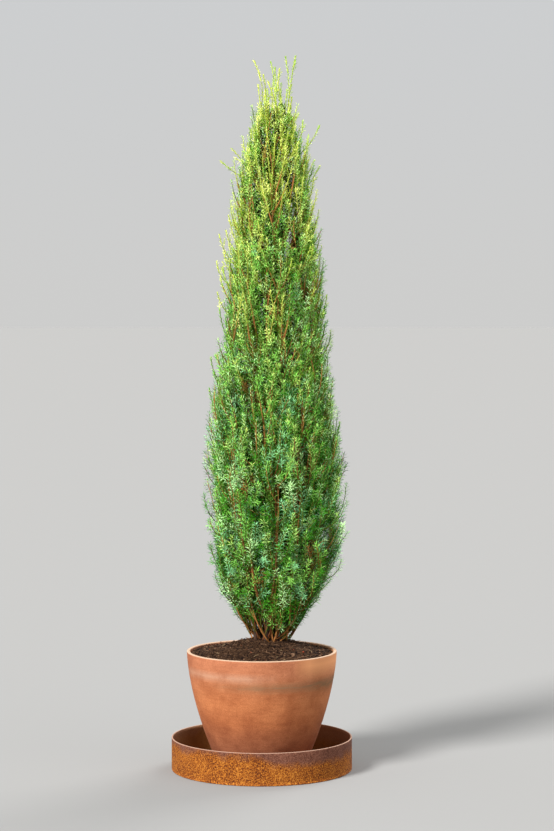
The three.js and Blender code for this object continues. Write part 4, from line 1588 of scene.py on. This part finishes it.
    def side_shoots(
        self,
        parents: Shoots,
        tips: Array,
        ways: Array,
        lengths: Array,
        bare: float = 0.0,
        vigour: float = 0.0,
        **habits: Array | float,
    ) -> Shoots:
        """Shoots that leave the leaders for given tips.

        Each starts at the point of a leader that lies nearest to its length below its tip, against the
        direction that it has there.

        Args:
            parents: The leaders.
            tips: Where the shoots end.
            ways: Their directions there.
            lengths: About how long each should be.
            bare: Share of the length that has no needles, where that is more than usual.
            vigour: Share of the tints, from the dead one up, that they leave out.
            habits: What differs from the tier's usual shoots.

        Returns:
            The shoots.
        """
        heights = tips[:, 2] - self.crown.ground
        shares = np.tile(np.linspace(0.1, 0.97, 26), (len(parents), 1))
        spots = along_curves(parents.controls, shares)[0].reshape(-1, 3)
        lengths = np.minimum(lengths, 0.75 * heights + 12)
        wanted = tips - ways * (0.92 * lengths)[:, None]
        nearest = np.linalg.norm(wanted[:, None] - spots[None], axis=-1).argmin(axis=1)
        roots = spots[nearest]
        run = np.linalg.norm(tips - roots, axis=-1)
        bends = tips - ways * (0.55 * run)[:, None]
        shed = (self.crown.bare_height(tips) - roots[:, 2]) / (tips[:, 2] - roots[:, 2]).clip(5)
        shared = self.rng.uniform(size=len(parents))[nearest // shares.shape[1]]
        own = self.rng.uniform(size=len(tips))
        draws = np.where(self.rng.uniform(size=len(tips)) < self.alike, shared, own)
        usual = {
            **self.tier.habits(), "foot_radii": 0.45 + run / 220, "tip_radii": 0.4, "crowding": 1.35,
            "bare": np.maximum(np.clip(14 / run, max(0.08, bare), max(0.28, bare)), shed).clip(0, 0.8),
            "tints": self.rule.pick(Light.OPEN, heights, mix(vigour, 1.0, draws)),
            "leans": self.tier.lean * self.rng.uniform(0.85, 1.15, len(tips)),
        }
        return Shoots.grown(roots, bends, tips, **{**usual, **habits})

    def grow(self, group: Group, leaders: Shoots) -> Shoots:
        """Makes a group of side shoots: their tips, directions and lengths, and their tints in the shade.

        Args:
            group: What the group is like.
            leaders: The leaders that it leaves.

        Returns:
            The shoots.
        """
        tips = self.tips(group)
        if group.thinned:
            tips = self.thinned(tips)
        ways = self.tip_ways(tips, group)
        lengths = self.rng.uniform(*group.lengths, len(tips)) * group.stretch
        habits = group.habits
        if group.light is not Light.OPEN:
            draws = self.rng.uniform(size=len(tips))
            habits = {**habits, "tints": self.rule.pick(group.light, tips[:, 2] - self.crown.ground, draws)}
        return self.side_shoots(leaders, tips, ways, lengths, group.bare, group.vigour, **habits)

    def outer_shoots(self, leaders: Shoots) -> Shoots:
        """The shoots near the outline, those that stand out of it, and those that reach far out.

        Args:
            leaders: The leaders that they leave.

        Returns:
            The shoots.
        """
        tier = self.tier
        dip = self.foot_dip if tier.fork == 0 else self.dip
        lean = 0.05 + 0.6 * tier.outward
        near = Group(
            tier.shoots, phase=0.0, dip=dip, deep=0.82, shallow=0.95, outward=tier.outward, spread=lean,
            lengths=(45, 85), ridge=self.ridge, thinned=True,
        )
        far = Group(
            tier.long_shoots, phase=0.3, dip=dip, deep=0.96, shallow=1.0, outward=tier.outward + 0.08,
            spread=lean + 0.04, lengths=(60, 95), stretch=1 + 1.4 * tier.stem_bare, ridge=self.ridge,
            beyond=tier.stand_out, bare=tier.stem_bare, vigour=0.3,
            habits={
                "foot_radii": 1.0 + 2.4 * tier.stem_bare, "tip_radii": 0.7, "spacings": 0.9 * tier.spacing,
                "crowding": 1.5,
            },
        )
        groups = [self.grow(near, leaders), self.grow(far, leaders), self.reaching_shoots(leaders)]
        return Shoots.together(groups)

    def reaching_shoots(self, leaders: Shoots) -> Shoots:
        """The shoots that reach far out of this mass: golden higher up, with their whorls far apart.

        Args:
            leaders: The leaders that they leave.

        Returns:
            The shoots.
        """
        table = np.array(REACHING_SHOOTS, float)
        heights, radii, angles, _ = table.T
        turns = np.radians(angles) - self.angle
        in_sector = np.abs(np.arctan2(np.sin(turns), np.cos(turns))) <= self.half
        under = (heights <= self.high_face.at(radii)) | (self.tier.fork is None)
        heights, radii, angles, slopes = table[in_sector & under & (heights > self.low_face.at(radii))].T
        tips = self.crown.points(radii, np.radians(angles), heights)
        ways = unit(slopes[:, None] * [1, 0, 0] + [0, 0, 1])
        lengths = np.where(heights > 1250, 115.0, 80.0)
        golden = Tint.GOLD.number - (self.rng.uniform(size=len(tips)) < 0.4)
        return self.side_shoots(
            leaders, tips, ways, lengths, foot_radii=1.3, tip_radii=0.9, needles=9.8, widths=2.0, leans=52.0,
            closings=0.7, spacings=5.6, crowding=1.6,
            tints=np.where(heights > 800, golden, Tint.FRESH.number),
        )

    def inner_shoots(self, leaders: Shoots) -> Shoots:
        """The shaded shoots behind the outer ones, and the coarse ones round the stem, both tinted darker as
        painted shade.

        Args:
            leaders: The leaders that they leave.

        Returns:
            The shoots.
        """
        tier = self.tier
        shaded = Group(
            tier.inner_shoots, phase=0.5, dip=0, deep=0.5, shallow=0.82, outward=0.1, spread=0.15,
            lengths=(45, 75), light=Light.SHADED,
            habits={"needles": tier.needle * 1.1, "widths": 2.4, "spacings": tier.spacing * 1.15},
        )
        dark = Group(
            tier.heart_shoots, phase=0.7, dip=-6, deep=0.12, shallow=0.66, outward=0.05, spread=0.2,
            lengths=(55, 90), light=Light.DARK,
            habits={
                "needles": tier.needle * 1.35, "widths": 4.4, "leans": 65.0, "spacings": tier.spacing * 1.25,
                "crowding": 1.0,
            },
        )
        return Shoots.together([self.grow(shaded, leaders), self.grow(dark, leaders)])

    def shootlets(self, parents: Shoots) -> Shoots:
        """A short side shoot on every shoot, which forks off and turns half way back to its direction.

        Args:
            parents: The shoots that they fork from.

        Returns:
            One side shoot for each parent.
        """
        count = len(parents)
        shares = self.rng.uniform(0.3, 0.75, count)
        roots, ways = (rows[:, 0] for rows in along_curves(parents.controls, shares[:, None]))
        out = spokes(*side_directions(ways, parents.levels()), TURN * fraction(np.arange(count) * PLASTIC))
        fork = np.radians(self.rng.uniform(34, 52, count))[:, None]
        away = ways * np.cos(fork) + out * np.sin(fork)
        lengths = curve_lengths(parents.controls) * (1 - shares) * self.rng.uniform(0.6, 1.0, count)
        half = (0.5 * lengths.clip(10, 30))[:, None]
        bends = roots + away * half
        tips = self.crown.keep_within(bends + unit(away + ways) * half, self.tier.stand_out)
        return Shoots.grown(
            roots, bends, tips, foot_radii=0.5, tip_radii=0.36, bare=0.12, tints=parents.tints,
            needles=parents.needles * 0.94, widths=parents.widths, leans=parents.leans,
            closings=parents.closings, spacings=parents.spacings * 0.9, crowding=1.2,
        )

    def build(self, finishes: "CrownFinishes") -> None:
        """Makes the mass's branches, twigs and needles, which stand for its foliage node.

        Args:
            finishes: The finishes that the masses share.
        """
        node = f"foliage_{self.name}"
        leaders = self.leaders()
        outer = self.outer_shoots(leaders)
        inner = self.inner_shoots(leaders)
        lets = self.shootlets(outer)
        branches = join([self.stem_tube(), leaders.tubes(*self.leader_mesh)])
        slots = self.branch_slots(leaders)
        dress(make_piece(f"branches_{self.name}", branches, finishes.twigs, slots), "bark", node)
        parts = ((outer, 5), (inner, 4), (lets, 2))
        twigs = join([shoots.tubes(rows, 3) for shoots, rows in parts])
        slots = np.concatenate([self.twig_slots(shoots, tube_triangles(rows, 3)) for shoots, rows in parts])
        dress(make_piece(f"twigs_{self.name}", twigs, finishes.twigs, slots), "bark", node)
        needles, slots = NeedleSet(self.rng).build(Shoots.together([leaders, outer, inner, lets]))
        slot = "foliage_top" if self.tier.name in ("upper", "top") else "foliage_low"
        dress(make_piece(f"needles_{self.name}", needles, finishes.needles, slots, smooth=False), slot, node)

    def branch_slots(self, leaders: Shoots) -> Array:
        """The bark of the branches: red-brown or orange, and green on the outer part of young leaders.

        Args:
            leaders: The leaders, whose tubes follow the stem's.

        Returns:
            A TwigBark's number for each triangle.
        """
        rows, sides = self.leader_mesh
        row = np.arange(tube_triangles(rows, sides)) // (2 * sides)
        old = Palette.deal(self.rng, len(leaders), {TwigBark.ORANGE: 0.55, TwigBark.RED: 0.45})
        green = leaders.young()[:, None] & (row > 0.45 * rows)
        stem = np.full(tube_triangles(*self.stem_mesh), TwigBark.RED.number)
        return np.concatenate([stem, np.where(green, TwigBark.GREEN.number, old[:, None]).ravel()])

    def twig_slots(self, shoots: Shoots, triangles: int) -> Array:
        """The bark of twigs of so many triangles: green under young needles, brown on thick inner parts.

        Args:
            shoots: The twigs.
            triangles: How many triangles each has.

        Returns:
            A TwigBark's number for each triangle.
        """
        odds = {TwigBark.OLIVE: 0.86, TwigBark.ORANGE: 0.11, TwigBark.RED: 0.03}
        old = Palette.deal(self.rng, len(shoots), odds)
        brown = Palette.deal(self.rng, len(shoots), {TwigBark.ORANGE: 0.7, TwigBark.RED: 0.3})
        outer = np.where(shoots.young(), TwigBark.GREEN.number, old)
        inner = np.where(shoots.foot_radii > 1.4, brown, outer)
        is_inner = np.arange(triangles) < 0.55 * triangles
        return np.where(is_inner, inner[:, None], outer[:, None]).ravel()


class CrownFinishes:
    """The finishes that all the masses share."""

    def __init__(self) -> None:
        """Builds a finish for each colour of bark and for each face of each tint of needle."""
        self.twigs = [
            PlainFinish(f"shoot_bark_{bark.name.lower()}", bark.value, 0.75, specular=0.15).build()
            for bark in TwigBark
        ]
        self.needles = [
            PlainFinish(f"needle_{tint.name.lower()}_{face}", colour, 0.6).build()
            for tint in Tint
            for face, colour in zip(("upper", "under"), tint.value)
        ]


@dataclass
class Wood:
    """The trunk, and the boughs that carry the masses."""

    crown: Crown
    masses: Sequence[Mass]
    trunk_height: float = 1235.0
    trunk_radius: float = 13.0
    trunk_tip: float = 1.2
    trunk_taper: float = 0.85
    trunk_mesh: tuple[int, int] = (150, 40)  # rows and sides
    flare: float = 8.0
    flare_height: float = 20.0
    foot_circle: float = 34.0
    rise: float = 34.0
    fork_step: float = 26.0
    bough_taper: float = 0.72
    bough_mesh: tuple[int, int] = (60, 16)
    ridge: float = 0.09  # share of the radius
    ridge_waves: tuple[float, float, int] = (16.0, 3.0, 40)  # longest, shortest and how many
    ridge_radius: float = 12.0  # of the limb that they are laid round
    ridge_stretch: float = 7.0  # how many times longer they are along it

    def trunk_radii(self, heights: Array) -> Array:
        """Trunk radius: it tapers to the tip, and flares at the ground."""
        taper = self.trunk_radius * np.clip(1 - heights / self.trunk_height, 0, 1) ** self.trunk_taper
        return taper + self.trunk_tip + self.flare * np.exp(-heights / self.flare_height)

    def barked(self, path: Array, radii: Array, sides: int, seed: int) -> Mesh:
        """A limb whose bark stands in long ridges.

        The ridges are a sum of waves round the limb whose phases drift slowly along it.

        Args:
            path: Middle line of the limb, shape (rows, 3).
            radii: Radius of each row.
            sides: Points round the limb.
            seed: Seed of the ridges.

        Returns:
            The mesh.
        """
        ways = unit(np.gradient(path, axis=0))
        run = np.concatenate([[0], np.cumsum(np.linalg.norm(np.diff(path, axis=0), axis=-1))])
        places = around(self.ridge_radius, angles_round(sides), run[:, None] / self.ridge_stretch)
        relief = 1 + self.ridge * waves(places, *self.ridge_waves, seed)
        rings = rings_along(path, ways, radii[:, None] * relief, np.array([1.0, 0.0, 0.0]), sides)
        rings[0, :, 2] = rings[0, :, 2].mean()
        return skin(rings[None])

    def bough_path(self, mass: Mass, rows: int) -> Array:
        """Middle line of a bough: from the soil beside the trunk, or forked from it and up beside it.

        Args:
            mass: The mass that the bough carries.
            rows: Points of the line.

        Returns:
            Points, shape (rows, 3).
        """
        tier, crown = mass.tier, self.crown
        radius, height = mass.stem_foot()
        tip = crown.points(radius, mass.angle, height)
        if tier.fork == 0:
            foot = crown.points(self.foot_circle, mass.angle, LIFT)
            above = crown.points(mix(self.foot_circle, radius, 0.3), mass.angle, height / 2)
            controls = np.stack([foot, above, tip])[None]
            return along_curves(controls, np.linspace(0, 1, rows)[None])[0][0]
        fork = tier.fork + self.fork_step * (mass.index % 3)
        run = max(radius - 8, float(self.trunk_radii(np.array(fork))) + tier.bough + 2)
        return smooth_path(np.stack([
            crown.points(0, mass.angle, fork),
            crown.points(run * self.bough_taper, mass.angle, fork + self.rise),
            crown.points(run, mass.angle, mix(fork + self.rise, height, 0.5)),
            tip,
        ]), rows)

    def build(self) -> None:
        """Makes the trunk, and one bough for each mass that has one."""
        bark = FIBROUS_BARK.build()
        rows, sides = self.trunk_mesh
        heights = mix(LIFT, self.trunk_height, np.linspace(0, 1, rows) ** 1.5)
        mesh = self.barked(self.crown.points(0, 0, heights), self.trunk_radii(heights), sides, SEED)
        dress(make_piece("trunk_bark", mesh, [bark]), "bark", "trunk")
        rows, sides = self.bough_mesh
        for mass in self.masses:
            if mass.tier.fork is None:
                continue
            radii = mass.tier.bough * mix(1, self.bough_taper, np.linspace(0, 1, rows))
            mesh = self.barked(self.bough_path(mass, rows), radii, sides, SEED + mass.number)
            dress(make_piece(f"bough_{mass.name}_bark", mesh, [bark]), "bark", f"bough_{mass.name}")


def lay_out_masses(crown: Crown) -> list[Mass]:
    """The masses of every tier, in the order in which the frame names them.

    Args:
        crown: The crown that they fill.

    Returns:
        The masses.
    """
    masses: list[Mass] = []
    low = CROWN_FOOT
    for tier in TIERS:
        high = Face(tier.top, tier.slope)
        for index in range(tier.masses):
            masses.append(Mass(crown, tier, index, len(masses), low, high))
        low = high
    return masses


# The studio


@dataclass(frozen=True)
class Sun:
    """A wide, even light. It comes from the direction towards, and softness is its width in degrees."""

    name: str
    towards: tuple[float, float, float]
    softness: float
    power: float


@dataclass
class Studio:
    """A pale floor, a pale sky with a soft main light from the upper left, and the photograph's camera."""

    camera_at: tuple[float, float, float] = (0.0355, -5.627, 1.1293)  # metres
    lens: float = 105.0
    sensor: float = 36.0
    pitch: float = 3.07
    floor_radius: float = 60000.0
    floor_hole: float = 100.0
    floor_depth: float = 30.0
    floor_colour: str = "#8f8e8c"
    sky: Stops = ((0.5, "#c1c1c0"), (0.58, "#c0c2c4"), (0.75, "#a9adb1"), (1.0, "#f4f6f8"))
    sky_strength: float = 1.15
    suns: tuple[Sun, ...] = (
        Sun("key", (-0.59, -0.65, 0.72), 16, 5.4),
        Sun("back", (0.55, 0.75, 0.8), 30, 2.0),
        Sun("fill", (0.75, -0.55, 0.45), 50, 0.45),
    )

    def build(self) -> None:
        """Makes the floor, the sky, the lights and the camera."""
        edge = [[self.floor_radius, -self.floor_depth], [self.floor_radius, 0.0], [self.floor_hole, 0.0]]
        finish = PlainFinish("pale_floor", self.floor_colour, 0.9, 0.05, 400, 0.0).build()
        floor = make_piece("floor", skin(turned(np.array(edge), 64)), [finish], smooth=False)
        self.add_sky()
        for sun in self.suns:
            light = bpy.data.lights.new(sun.name, "SUN")
            light.angle, light.energy = np.radians(sun.softness), sun.power
            holder = self.hold(sun.name, light)
            holder.rotation_euler = (-Vector(sun.towards)).to_track_quat("-Z", "Y").to_euler()
        camera = bpy.data.cameras.new("camera")
        camera.lens, camera.sensor_width = self.lens, self.sensor
        holder = self.hold("camera", camera)
        holder.location = self.camera_at
        holder.rotation_euler = (np.radians(90 - self.pitch), 0, 0)
        bpy.context.scene.camera = holder
        bpy.context.scene.view_settings.view_transform = "Standard"

    @staticmethod
    def hold(name: str, data: bpy.types.ID) -> bpy.types.Object:
        """Puts a light or a camera into the scene.

        Args:
            name: The object's name.
            data: The light or the camera.

        Returns:
            The object.
        """
        holder = bpy.data.objects.new(name, data)
        bpy.context.scene.collection.objects.link(holder)
        return holder

    def add_sky(self) -> None:
        """Adds the surrounding light: pale at the horizon, dimmer above it and bright overhead."""
        world = bpy.data.worlds.new("studio")
        world.use_nodes = True
        tree = world.node_tree
        way = add_node(tree, "TexCoord", output="Generated")
        up = add_node(tree, "SeparateXYZ", links={"Vector": way}, output="Z")
        share = add_node(tree, "MapRange", {"From Min": -1.0}, {"Value": up})
        colour = add_node(tree, "ValToRGB", links={"Fac": share}, stops=self.sky)
        set_up(tree.nodes["Background"], {"Strength": self.sky_strength}, {"Color": colour})
        bpy.context.scene.world = world


def main() -> None:
    """Builds the object and the studio."""
    logging.basicConfig(level=logging.INFO, format="%(message)s")
    crown = Crown()
    masses = lay_out_masses(crown)
    pot = Pot()
    Tray().build()
    pot.build()
    Compost(pot).build()
    Wood(crown, masses).build()
    finishes = CrownFinishes()
    for mass in masses:
        mass.build(finishes)
    Studio().build()


if __name__ == "__main__":
    main()
